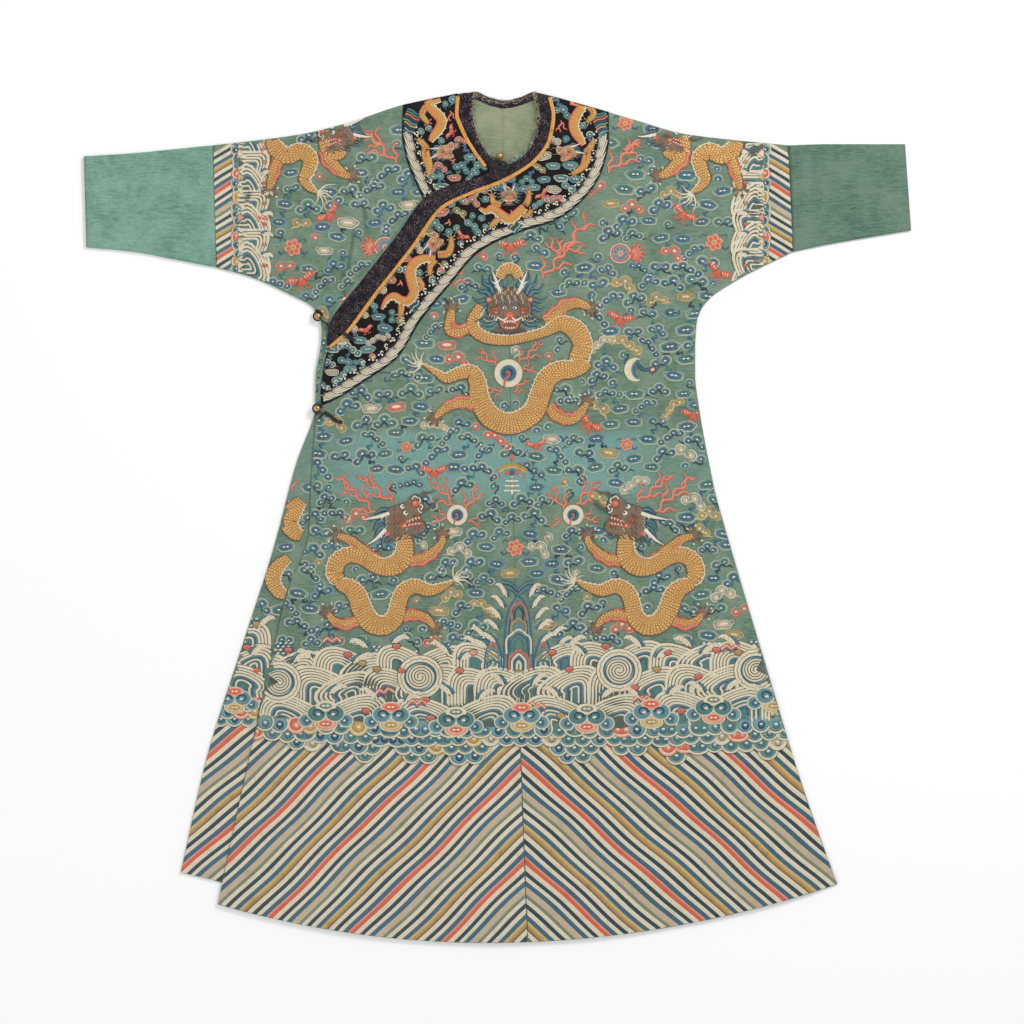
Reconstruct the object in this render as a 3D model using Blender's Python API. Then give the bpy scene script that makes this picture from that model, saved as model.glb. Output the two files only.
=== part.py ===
"""Chinese dragon robe, laid flat on its back.

Metres, +Z up, +Y towards the shoulders, origin on the floor under the middle of the
robe. The wearer's right is at -X. Every cloth panel is a thin wall: a grid of rows
that run from an inner line (neck, centre seam) to an outer line (sleeve, side seam).
"""

import math

import bpy
import numpy as np

MM = 0.001

# Cloth and how it is stacked, in millimetres above the floor.
WALL = 1.5
GAP = 0.3
LINING_WALL = 1.0
TRIM_WALL = 1.0
BACK_TOP = WALL
LINING_TOP = BACK_TOP + GAP + LINING_WALL
INNER_TOP = BACK_TOP + GAP + WALL
OUTER_REST = INNER_TOP + GAP + TRIM_WALL + GAP + WALL
SEAM_REACH = 55.0
ARM_ROWS = 3
SLEEVE_PUFF = 1.2
SLEEVE_FROM_X = -200.0
SLEEVE_BLEND_X = 120.0
SLEEVE_FROM_Y = 330.0
SLEEVE_BLEND_Y = 60.0

# Grid steps of the panels.
FRONT_STEP = 42.0
FRONT_ACROSS = 9
BACK_STEP = 62.0
BACK_ACROSS = 5
TRIM_STEP = 22.0
TRIM_ACROSS = 3

# Trims and fastenings.
TUBE_HEIGHT = 5.4
TUBE_WALL = 1.3
TUBE_STEP = 60.0
TUBE_CORNERS = 4
TUBE_ACROSS = 4
STRIP_CORNERS = 5
STRAP_STEP = 4.0
PIPING_WIDTH = 6.0
PIPING_HEIGHT = 2.2
BUTTON_RADIUS = 5.5
CORD_RADIUS = 1.6
STRAP_WIDTH = 6.5
STRAP_HEIGHT = 3.0

# Plain sleeve ends from cuff to seam: the fold on top of the arm and the seam below it.
# Columns: fold_x, fold_y, seam_x, seam_y.
SLEEVE_END_RIGHT = (
    (-680, 594, -676, 444),
    (-601, 599, -600, 437),
    (-530, 606, -530, 424),
    (-468.4, 612, -462.4, 411),
)
SLEEVE_END_LEFT = (
    (670, 614, 680, 472),
    (600, 614, 613, 461),
    (544, 614, 549, 450),
    (478.4, 612, 486.4, 437),
)

# Rows of each panel: the inner end, the outer end, and how far the row bows to the hem.
# Columns: inner_x, inner_y, outer_x, outer_y, bow.
BACK_RIGHT = (
    (-468, 612, -462, 411, 0),
    (-404, 619, -407, 396, 0),
    (-325, 630, -340, 366, 0),
    (-246, 649, -305, 347, 0),
    (-150, 680, -292, 328, 0),
    (-88, 693, -289, 305, 0),
    (-36, 700, -291, 280, 0),
    (7.8, 686, -297, 245, 0),
    (7.8, 480, -300, 180, 0),
    (7.8, 260, -332, 85, 0),
    (7.8, 20, -368, -50, 0),
    (7.8, -220, -421, -215, 4),
    (7.8, -450, -478, -395, 8),
    (7.8, -690, -520, -580, 16),
)
BACK_LEFT = (
    (478, 612, 486, 437, 0),
    (386, 621, 400, 394, 0),
    (307, 631, 350, 361, 0),
    (228, 657, 334, 340, 0),
    (150, 679, 328, 322, 0),
    (95, 694, 326, 300, 0),
    (57, 700, 325, 270, 0),
    (8.2, 686, 325, 235, 0),
    (8.2, 480, 333, 172, 0),
    (8.2, 260, 350, 80, 0),
    (8.2, 20, 379, -45, 0),
    (8.2, -220, 432, -215, 4),
    (8.2, -450, 497, -425, 8),
    (8.2, -690, 556, -594, 16),
)
FRONT_INNER_RIGHT = (
    (-468, 612, -462, 411, 0),
    (-404, 619, -407, 396, 0),
    (-325, 630, -340, 366, 0),
    (-246, 649, -305, 347, 0),
    (-150, 680, -292, 328, 0),
    (-36, 700, -289, 306, 0),
    (-42, 655, -290, 285, 0),
    (-34, 610, -294, 262, 0),
    (0, 575, -299, 232, 0),
    (-2, 440, -300, 180, 0),
    (-4, 250, -332, 85, 0),
    (-6, 20, -368, -50, 0),
    (-8, -220, -421, -215, 3),
    (-10, -450, -478, -395, 6),
    (-12, -664, -521, -584, 10),
)
FRONT_LEFT = (
    (478, 612, 486, 437, 0),
    (386, 621, 400, 394, 0),
    (307, 631, 350, 361, 0),
    (228, 657, 334, 340, 0),
    (150, 679, 328, 322, 0),
    (58, 700, 326, 302, 0),
    (65, 655, 325, 278, 0),
    (52, 610, 325, 252, 0),
    (13.2, 572, 325, 222, 0),
    (15.2, 440, 335, 150, 0),
    (21.2, 200, 356, 50, 0),
    (28.2, -60, 392, -78, 0),
    (35.2, -290, 448, -265, 4),
    (42.2, -500, 511, -470, 9),
    (50.2, -698, 559, -600, 15),
)
FRONT_OVERLAP = (
    (12.8, 571, 2, 568, 0),
    (13.4, 520, -112, 531, 0),
    (14.8, 440, -176, 453, 0),
    (17.0, 350, -276, 327, 0),
    (18.6, 290, -283, 282, 0),
    (20.8, 200, -292, 225, 0),
    (23.6, 90, -298, 165, 0),
    (25.0, 40, -305, 75, 0),
    (27.8, -60, -310, -24, 0),
    (31.0, -170, -346, -125, 2),
    (34.8, -290, -376, -253, 5),
    (41.8, -500, -422, -458, 13),
    (49.8, -698, -460, -636, 21),
)
LINING_RIGHT = (
    (7.8, 671, -36, 683, 0),
    (7.8, 650, -38, 655, 0),
    (7.8, 620, -32, 620, 0),
    (7.8, 590, -9, 590, 0),
    (7.8, 580, 3, 580, 0),
)
LINING_LEFT = (
    (8.2, 671, 100, 680, 0),
    (8.2, 620, 100, 620, 0),
    (8.2, 545, 100, 545, 0),
)
YOKE_RIGHT = (
    (-65, 695, -155, 677, 0),
    (-67, 664, -157, 633, 0),
    (-56, 634, -151, 595, 0),
    (-33, 596, -136, 554, 0),
    (-14, 572, -116, 514, 0),
)
YOKE_LEFT = (
    (86, 694, 183, 666, 0),
    (92, 660, 183, 620, 0),
    (86, 624, 172, 570, 0),
    (63, 588, 146, 528, 0),
    (15, 556, 95, 488, 0),
    (-47, 532, 37, 469, 0),
    (-91, 511, -28, 438, 0),
    (-144, 440, -80, 380, 0),
    (-198, 371, -125, 325, 0),
    (-250, 304, -165, 262, 0),
    (-281, 268, -215, 226, 0),
    (-288, 232, -262, 196, 0),
    (-291, 206, -289, 184, 0),
)
BINDING_RIGHT = (
    (-37, 700, -64, 696, 0),
    (-42, 655, -66, 664, 0),
    (-34, 611, -55, 633, 0),
    (-12, 584, -31, 594, 0),
    (8, 569, -10, 568, 0),
)
BINDING_LEFT = (
    (58, 700, 85, 694, 0),
    (65, 655, 91, 660, 0),
    (52, 611, 85, 624, 0),
    (22, 577, 62, 589, 0),
    (-18, 562, 14, 557, 0),
    (-70, 548, -48, 533, 0),
    (-116, 528, -92, 512, 0),
    (-170, 458, -145, 441, 0),
    (-224, 389, -199, 372, 0),
    (-276, 322, -251, 305, 0),
)
BINDING_BACK = (
    (-33, 686, -34, 700, 0),
    (-12, 677, -13, 691, 0),
    (12, 672, 12, 686, 0),
    (36, 677, 36, 690, 0),
    (58, 685, 56, 699, 0),
)

# Gold piping beside the bindings: the line it follows.
PIPING_RIGHT_LINE = ((-65, 691), (-67, 664), (-56, 634), (-32, 595), (-16, 574))
PIPING_LEFT_LINE = (
    (86, 690),
    (92, 660),
    (86, 623),
    (63, 588),
    (15, 556),
    (-46, 532),
    (-89, 511),
    (-142, 441),
    (-197, 371),
    (-248, 304),
    (-273, 277),
)

# Cord straps of the two side fastenings: a line over the trims, with its level.
STRAP_UNDERARM = (
    (-281, 317, 8.1),
    (-270, 312, 8.2),
    (-261, 307, 10.4),
    (-250, 301, 10.7),
    (-240, 294, 8.5),
    (-235, 290, 8.1),
)
BUTTONS = {
    "neck": (4, 594, LINING_TOP + GAP + BUTTON_RADIUS),
    "underarm": (-295, 331, INNER_TOP + GAP + BUTTON_RADIUS),
    "side": (-296, 179, OUTER_REST + GAP + BUTTON_RADIUS),
}
LOOP_START = 10
LOOP_END = 290
LOOP_TURN = 20
STRAP_SIDE = ((-285, 173, 6.8), (-275, 167, 6.8), (-265, 159, 6.8), (-256, 156, 6.8))
LOOP_NECK = (
    (-4, 561, 10.0),
    (-5, 571, 9.9),
    (-5, 579, 6.9),
    (-2, 585, 5.2),
    (4, 586.6, 5.0),
    (10, 585, 5.2),
    (13, 581.5, 6.9),
    (13, 575, 9.9),
    (12, 563, 10.0),
)

# The largest folds: where each ridge starts and ends, its spread and its height.
# Columns: x1, y1, x2, y2, spread, ridge.
FOLDS = (
    (-250, 440, -262, 366, 52, 1.4),
    (300, 440, 282, 330, 60, 1.6),
    (-270, -60, -310, -330, 68, 1.3),
    (240, -120, 300, -420, 120, 1.2),
    (-120, -300, -170, -600, 120, 1.1),
    (120, 60, 150, -220, 110, 1.0),
)

SILK = (0.131, 0.258, 0.185)
PLAIN_SILK = (0.144, 0.330, 0.254)
LINING_SILK = (0.225, 0.352, 0.225)
YOKE_SILK = (0.012, 0.010, 0.020)
NAVY = (0.016, 0.012, 0.030)
GOLD_CORD = (0.730, 0.352, 0.100)
BRASS = (0.640, 0.430, 0.160)
BLACK_CORD = (0.010, 0.009, 0.010)


def clear_scene():
    for obj in list(bpy.data.objects):
        bpy.data.objects.remove(obj, do_unlink=True)


def material(name, colour, roughness, metallic=0.0):
    made = bpy.data.materials.new(name)
    made.use_nodes = True
    shader = made.node_tree.nodes["Principled BSDF"]
    shader.inputs["Base Color"].default_value = (*colour, 1.0)
    shader.inputs["Roughness"].default_value = roughness
    shader.inputs["Metallic"].default_value = metallic
    return made


def smooth_through(points, step):
    """A curve through the rows of points that never overshoots them.

    Each span is a cubic whose end slopes are the harmonic means of the slopes on both
    sides, or 0 at a turn. It is cut into even steps by its length over the first two
    columns.
    """
    points = np.asarray(points, float)
    slope = np.diff(points, axis=0)
    before = slope[:-1]
    after = slope[1:]
    together = before * after
    total = np.where(together > 0, before + after, 1.0)
    tangent = np.vstack([slope[:1], np.where(together > 0, 2 * together / total, 0), slope[-1:]])
    made = []
    for i, span in enumerate(slope):
        count = max(1, math.ceil(np.linalg.norm(span[:2]) / step))
        t = np.arange(count)[:, None] / count
        made.append(
            points[i] * (2 * t**3 - 3 * t**2 + 1)
            + tangent[i] * (t**3 - 2 * t**2 + t)
            + points[i + 1] * (3 * t**2 - 2 * t**3)
            + tangent[i + 1] * (t**3 - t**2)
        )
    made.append(points[-1:])
    return np.vstack(made)


def rows_of(table, step, across):
    """Plane points of a panel: a grid of rows by columns, from its inner to its outer line."""
    inner_x, inner_y, outer_x, outer_y, bow = smooth_through(table, step).T[:, :, None]
    u = np.linspace(0, 1, across + 1)
    x = inner_x * (1 - u) + outer_x * u
    y = inner_y * (1 - u) + outer_y * u - bow * 4 * u * (1 - u)
    return np.stack([x, y], axis=-1)


def distance_to_line(points, line):
    """The distance of each point to a polyline."""
    line = np.asarray(line, float)
    nearest = np.full(points.shape[:-1], np.inf)
    for start, stop in zip(line, line[1:]):
        along = stop - start
        t = np.clip(((points - start) @ along) / (along @ along), 0, 1)
        gap = np.linalg.norm(points - start - t[..., None] * along, axis=-1)
        nearest = np.minimum(nearest, gap)
    return nearest


def ease(t):
    t = np.clip(t, 0, 1)
    return t * t * (3 - 2 * t)


def folds(points):
    """The height that the folds add: ridges with round sides and ends."""
    height = np.zeros(points.shape[:-1])
    for x1, y1, x2, y2, spread, ridge in FOLDS:
        gap = distance_to_line(points, ((x1, y1), (x2, y2)))
        height += ridge * ease(1 - gap / spread)
    return height


def seam_lines(table):
    """The lines where front and back meet: the outer ends, and the fold above the arm."""
    table = np.asarray(table, float)
    return table[:, 2:4], table[:ARM_ROWS, 0:2]


def seam_rise(points, table):
    """0 at the seams where front and back meet, 1 further in than the reach."""
    gap = np.minimum(*(distance_to_line(points, line) for line in seam_lines(table)))
    return ease(gap / SEAM_REACH)


def outer_top(points):
    """The upper face of the outer front: low along the left side seam, else level."""
    rise = seam_rise(points, FRONT_LEFT)
    return INNER_TOP + (OUTER_REST - INNER_TOP + folds(points)) * rise


def overlap_top(points):
    """The upper face of the overlap, which rests on the inner front all over."""
    edge = np.asarray(FRONT_OVERLAP, float)[:, 2:4]
    return OUTER_REST + folds(points) * ease(distance_to_line(points, edge) / SEAM_REACH)


def inner_top(points):
    """The upper face of the inner front: puffed on the sleeve, flat under the overlap."""
    beside = ease((SLEEVE_FROM_X - points[..., 0]) / SLEEVE_BLEND_X)
    above = ease((points[..., 1] - SLEEVE_FROM_Y) / SLEEVE_BLEND_Y)
    rise = seam_rise(points, FRONT_INNER_RIGHT)
    return INNER_TOP + (SLEEVE_PUFF + folds(points)) * rise * beside * above


def on(points, top):
    """Space points: plane points with a height, which is a number or a function."""
    height = top(points) if callable(top) else np.full(points.shape[:-1], float(top))
    return np.concatenate([points, height[..., None]], axis=-1)


def add_object(name, vertices, faces, finish):
    """One named object from points in millimetres and faces of point numbers."""
    faces = [tuple(int(v) for v in face) for face in faces]
    mesh = bpy.data.meshes.new(name)
    mesh.from_pydata([tuple(v) for v in np.asarray(vertices) * MM], [], faces)
    mesh.shade_smooth()
    mesh.set_sharp_from_angle(angle=math.radians(40))
    mesh.materials.append(finish)
    obj = bpy.data.objects.new(name, mesh)
    bpy.context.scene.collection.objects.link(obj)


def wall(name, upper, thickness, finish):
    """A closed wall under a grid of space points: upper face, lower face and rim."""
    rows, columns = upper.shape[:2]
    lower = upper - (0, 0, thickness)
    across = upper[0, -1] - upper[0, 0]
    along = upper[1, 0] - upper[0, 0]
    if np.cross(along, across)[2] < 0:
        upper = upper[:, ::-1]
        lower = lower[:, ::-1]
    count = rows * columns
    index = np.arange(count).reshape(rows, columns)
    faces = []
    for i in range(rows - 1):
        for j in range(columns - 1):
            quad = (index[i, j], index[i + 1, j], index[i + 1, j + 1], index[i, j + 1])
            faces.append(quad)
            faces.append([k + count for k in reversed(quad)])
    rim = np.concatenate([index[:, 0], index[-1, 1:], index[-2::-1, -1], index[0, -2:0:-1]])
    for a, b in zip(rim, np.roll(rim, -1)):
        faces.append((b, a, a + count, b + count))
    vertices = np.concatenate([upper.reshape(-1, 3), lower.reshape(-1, 3)])
    add_object(name, vertices, faces, finish)


def tube_ring(fold, seam, shrink):
    """One ring of a flattened tube: two level runs joined by half rounds."""
    radius = TUBE_HEIGHT / 2 - shrink
    arm = fold - seam
    length = np.linalg.norm(arm)
    inset = TUBE_HEIGHT / 2
    turn = np.linspace(0, math.pi, TUBE_CORNERS + 1)
    run = np.linspace(inset, length - inset, TUBE_ACROSS + 1)[1:-1]
    reach = np.concatenate(
        [
            length - inset + radius * np.sin(turn),
            run[::-1],
            inset - radius * np.sin(turn),
            run,
        ]
    )
    level = np.concatenate(
        [
            inset - radius * np.cos(turn),
            np.full(len(run), inset + radius),
            inset + radius * np.cos(turn),
            np.full(len(run), inset - radius),
        ]
    )
    plane = seam + reach[:, None] * arm / length
    return np.column_stack([plane, level])


def sleeve_end(name, table, finish):
    """A plain sleeve end: a flattened tube with an open cuff, in rings along the arm."""
    rows = smooth_through(table, TUBE_STEP)
    skins = [
        np.array([tube_ring(row[0:2], row[2:4], shrink) for row in rows])
        for shrink in (0.0, TUBE_WALL)
    ]
    around = skins[0].shape[1]
    count = len(rows) * around
    index = np.arange(count).reshape(len(rows), around)
    faces = []
    for j in range(around):
        k = (j + 1) % around
        for i in range(len(rows) - 1):
            quad = (index[i, j], index[i, k], index[i + 1, k], index[i + 1, j])
            faces.append(quad)
            faces.append([v + count for v in reversed(quad)])
        faces.append((index[0, k], index[0, j], index[0, j] + count, index[0, k] + count))
        faces.append((index[-1, j], index[-1, k], index[-1, k] + count, index[-1, j] + count))
    if table[0][0] > 0:
        faces = [face[::-1] for face in faces]
    vertices = np.concatenate([skin.reshape(-1, 3) for skin in skins])
    add_object(name, vertices, faces, finish)


def strip_along(name, path, width, height, finish):
    """A strip with a flat foot and a round back, carried along space points."""
    ahead = np.gradient(path[:, :2], axis=0)
    ahead /= np.linalg.norm(ahead, axis=1)[:, None]
    aside = np.stack([-ahead[:, 1], ahead[:, 0]], -1)
    turn = np.linspace(0, math.pi, STRIP_CORNERS + 1)
    ring = np.zeros((len(path), STRIP_CORNERS + 1, 3))
    ring[:, :, :2] = path[:, None, :2] + aside[:, None] * (np.cos(turn) * width / 2)[:, None]
    ring[:, :, 2] = path[:, None, 2] + np.sin(turn) * height
    rows, around = ring.shape[:2]
    index = np.arange(rows * around).reshape(rows, around)
    faces = [index[0][::-1], index[-1]]
    for i in range(rows - 1):
        for j in range(around):
            k = (j + 1) % around
            faces.append((index[i, j], index[i, k], index[i + 1, k], index[i + 1, j]))
    add_object(name, ring.reshape(-1, 3), faces, finish)


def cord_curve(name, points, radius, finish):
    """A round cord through space points, with filled ends."""
    data = bpy.data.curves.new(name, "CURVE")
    data.dimensions = "3D"
    data.bevel_depth = radius * MM
    data.bevel_resolution = 2
    data.use_fill_caps = True
    spline = data.splines.new("POLY")
    path = smooth_through(points, radius * 2)
    spline.points.add(len(path) - 1)
    for point, place in zip(spline.points, path * MM):
        point.co = (*place, 1.0)
    data.materials.append(finish)
    obj = bpy.data.objects.new(name, data)
    bpy.context.scene.collection.objects.link(obj)


def ball_button(name, centre, finish):
    """A cast ball."""
    bpy.ops.mesh.primitive_uv_sphere_add(segments=16, ring_count=10, radius=BUTTON_RADIUS * MM)
    obj = bpy.context.object
    obj.name = name
    obj.data.name = name
    obj.location = np.asarray(centre) * MM
    obj.data.shade_smooth()
    obj.data.materials.append(finish)


def build_panels():
    silk = material("embroidered_silk", SILK, 0.55)
    lining = material("lining_silk", LINING_SILK, 0.7)
    for name, table in (("back_right", BACK_RIGHT), ("back_left", BACK_LEFT)):
        wall(name, on(rows_of(table, BACK_STEP, BACK_ACROSS), BACK_TOP), WALL, silk)
    for name, table in (("lining_right", LINING_RIGHT), ("lining_left", LINING_LEFT)):
        wall(name, on(rows_of(table, BACK_STEP, TRIM_ACROSS), LINING_TOP), LINING_WALL, lining)
    for name, table, top in (
        ("front_inner_right", FRONT_INNER_RIGHT, inner_top),
        ("front_left", FRONT_LEFT, outer_top),
        ("front_overlap", FRONT_OVERLAP, overlap_top),
    ):
        wall(name, on(rows_of(table, FRONT_STEP, FRONT_ACROSS), top), WALL, silk)


def build_sleeve_ends():
    silk = material("plain_silk", PLAIN_SILK, 0.5)
    sleeve_end("sleeve_end_right", SLEEVE_END_RIGHT, silk)
    sleeve_end("sleeve_end_left", SLEEVE_END_LEFT, silk)


def build_trims():
    yoke = material("yoke_silk", YOKE_SILK, 0.55)
    navy = material("navy_binding", NAVY, 0.8)
    gold = material("gold_piping", GOLD_CORD, 0.4)
    on_back = BACK_TOP + GAP + TRIM_WALL
    on_inner = INNER_TOP + GAP + TRIM_WALL
    on_outer = OUTER_REST + GAP + TRIM_WALL
    for name, table, top, finish in (
        ("yoke_right", YOKE_RIGHT, on_inner, yoke),
        ("yoke_left", YOKE_LEFT, on_outer, yoke),
        ("binding_back", BINDING_BACK, on_back, navy),
        ("binding_right", BINDING_RIGHT, on_inner, navy),
        ("binding_left", BINDING_LEFT, on_outer, navy),
    ):
        wall(name, on(rows_of(table, TRIM_STEP, TRIM_ACROSS), top), TRIM_WALL, finish)
    for name, line, top in (
        ("piping_right", PIPING_RIGHT_LINE, on_inner),
        ("piping_left", PIPING_LEFT_LINE, on_outer),
    ):
        path = on(smooth_through(line, TRIM_STEP), top + GAP)
        strip_along(name, path, PIPING_WIDTH, PIPING_HEIGHT, gold)


def ring_loop(centre):
    """A cord ring that hugs the lower half of a button, open towards the overlap."""
    level = -BUTTON_RADIUS * 0.4
    reach = math.sqrt((BUTTON_RADIUS + CORD_RADIUS + GAP) ** 2 - level**2) + GAP
    turn = np.radians(np.arange(LOOP_START, LOOP_END + 1, LOOP_TURN))
    ring = np.stack([np.cos(turn) * reach, np.sin(turn) * reach, np.full(len(turn), level)], -1)
    return np.asarray(centre) + ring


def build_fastenings():
    brass = material("brass", BRASS, 0.35, metallic=1.0)
    black = material("black_cord", BLACK_CORD, 0.8)
    for name, centre in BUTTONS.items():
        ball_button("button_" + name, centre, brass)
    cord_curve("loop_neck", LOOP_NECK, CORD_RADIUS, black)
    for name, strap in (("underarm", STRAP_UNDERARM), ("side", STRAP_SIDE)):
        cord_curve("loop_" + name, ring_loop(BUTTONS[name]), CORD_RADIUS, black)
        strip_along("strap_" + name, smooth_through(strap, STRAP_STEP), STRAP_WIDTH, STRAP_HEIGHT, black)


clear_scene()
build_panels()
build_sleeve_ends()
build_trims()
build_fastenings()
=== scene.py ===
import math

import bpy
import numpy as np
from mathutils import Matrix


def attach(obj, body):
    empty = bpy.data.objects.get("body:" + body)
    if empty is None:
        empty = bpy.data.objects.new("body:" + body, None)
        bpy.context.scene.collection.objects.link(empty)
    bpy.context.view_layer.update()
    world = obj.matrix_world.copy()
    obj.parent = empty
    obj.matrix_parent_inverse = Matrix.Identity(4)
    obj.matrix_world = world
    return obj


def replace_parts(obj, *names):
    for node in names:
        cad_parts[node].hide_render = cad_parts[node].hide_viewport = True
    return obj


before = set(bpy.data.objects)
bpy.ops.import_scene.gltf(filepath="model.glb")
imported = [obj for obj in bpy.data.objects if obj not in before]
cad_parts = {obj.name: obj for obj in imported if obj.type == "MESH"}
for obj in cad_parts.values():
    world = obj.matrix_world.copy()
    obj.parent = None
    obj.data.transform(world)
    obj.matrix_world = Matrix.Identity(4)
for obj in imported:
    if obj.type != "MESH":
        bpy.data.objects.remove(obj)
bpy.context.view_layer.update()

mm = 0.001
rng = np.random.default_rng(11)
scene = bpy.context.scene

# Everything below is worked out in millimetres: x towards the wearer's left, y towards the shoulders.


# lines and shapes in the plane

# a cubic through the points that never overshoots: slopes are harmonic means, 0 at a turn
def steadyLine(points, step):
    points = np.asarray(points, float)
    slope = np.diff(points, axis=0)
    before, after = slope[:-1], slope[1:]
    together = before * after
    total = np.where(together > 0, before + after, 1.0)
    tangent = np.vstack([slope[:1], np.where(together > 0, 2 * together / total, 0), slope[-1:]])
    made = []
    for i, span in enumerate(slope):
        count = max(1, math.ceil(np.linalg.norm(span[:2]) / step))
        t = np.arange(count)[:, None] / count
        made.append(points[i] * (2 * t**3 - 3 * t**2 + 1) + tangent[i] * (t**3 - 2 * t**2 + t)
                    + points[i + 1] * (3 * t**2 - 2 * t**3) + tangent[i + 1] * (t**3 - t**2))
    made.append(points[-1:])
    return np.vstack(made)


# a flowing Catmull-Rom curve through the points, cut into even steps
def flowLine(points, step=3.0, closed=False):
    points = np.asarray(points, float)
    if closed:
        ends = np.vstack([points[-1:], points, points[:2]])
    else:
        ends = np.vstack([2 * points[0] - points[1], points, 2 * points[-1] - points[-2]])
    made = []
    for p0, p1, p2, p3 in zip(ends, ends[1:], ends[2:], ends[3:]):
        count = max(2, math.ceil(np.linalg.norm((p2 - p1)[:2]) / step))
        t = np.arange(count)[:, None] / count
        made.append(0.5 * (2 * p1 + (p2 - p0) * t + (2 * p0 - 5 * p1 + 4 * p2 - p3) * t**2
                           + (3 * p1 - p0 - 3 * p2 + p3) * t**3))
    if not closed:
        made.append(points[-1:])
    return np.vstack(made)


def turned(points, angle):
    c, s = math.cos(math.radians(angle)), math.sin(math.radians(angle))
    points = np.asarray(points, float)
    return np.stack([points[..., 0] * c - points[..., 1] * s, points[..., 0] * s + points[..., 1] * c], -1)


# part of an ellipse, turned: centre + (rx cos t, ry sin t)
def ellipse(cx, cy, rx, ry, start=0, end=360, count=None, angle=0):
    count = count or max(8, int(abs(end - start) / 360 * (10 + (rx + ry) * 0.9)))
    full = abs(end - start) >= 360
    t = np.radians(np.linspace(start, end, count, endpoint=not full))
    ring = np.stack([rx * np.cos(t), ry * np.sin(t)], -1)
    return turned(ring, angle) + (cx, cy)


# a spiral whose radius runs evenly from r0 to r1 while it turns from a0 to a1
def spiral(cx, cy, r0, r1, a0, a1, squash=1.0):
    count = max(10, int(abs(a1 - a0) / 18))
    t = np.radians(np.linspace(a0, a1, count))
    r = np.linspace(r0, r1, count)
    return np.stack([r * np.cos(t), r * np.sin(t) * squash], -1) + (cx, cy)


# how far along a line each of its points lies
def runOf(line):
    return np.concatenate([[0], np.cumsum(np.linalg.norm(np.diff(line, axis=0), axis=1))])


# the place a given length along a line, and the way the line runs on from there, in degrees
def placeOn(line, run, at, ahead):
    here, there = (np.array([np.interp(far, run, line[:, n]) for n in range(2)]) for far in (at, at + ahead))
    return here, math.degrees(math.atan2(*(there - here)[::-1]))


# which way a line runs at each point, and its left side there
def waysOf(path):
    way = np.gradient(path, axis=0)
    way /= np.linalg.norm(way, axis=1)[:, None]
    return way, np.stack([-way[:, 1], way[:, 0]], -1)


def ease(t):
    t = np.clip(t, 0, 1)
    return t * t * (3 - 2 * t)


def lineGap(points, line):
    line = np.asarray(line, float)
    nearest = np.full(points.shape[:-1], np.inf)
    for start, stop in zip(line, line[1:]):
        along = stop - start
        t = np.clip(((points - start) @ along) / (along @ along), 0, 1)
        nearest = np.minimum(nearest, np.linalg.norm(points - start - t[..., None] * along, axis=-1))
    return nearest


# even-odd rule on whole arrays
def inside(points, outline):
    x, y = points[..., 0], points[..., 1]
    hit = np.zeros(x.shape, bool)
    for (x1, y1), (x2, y2) in zip(outline, np.roll(outline, -1, axis=0)):
        if y1 != y2:
            hit ^= ((y1 > y) != (y2 > y)) & (x < (x2 - x1) * (y - y1) / (y2 - y1) + x1)
    return hit


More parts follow.
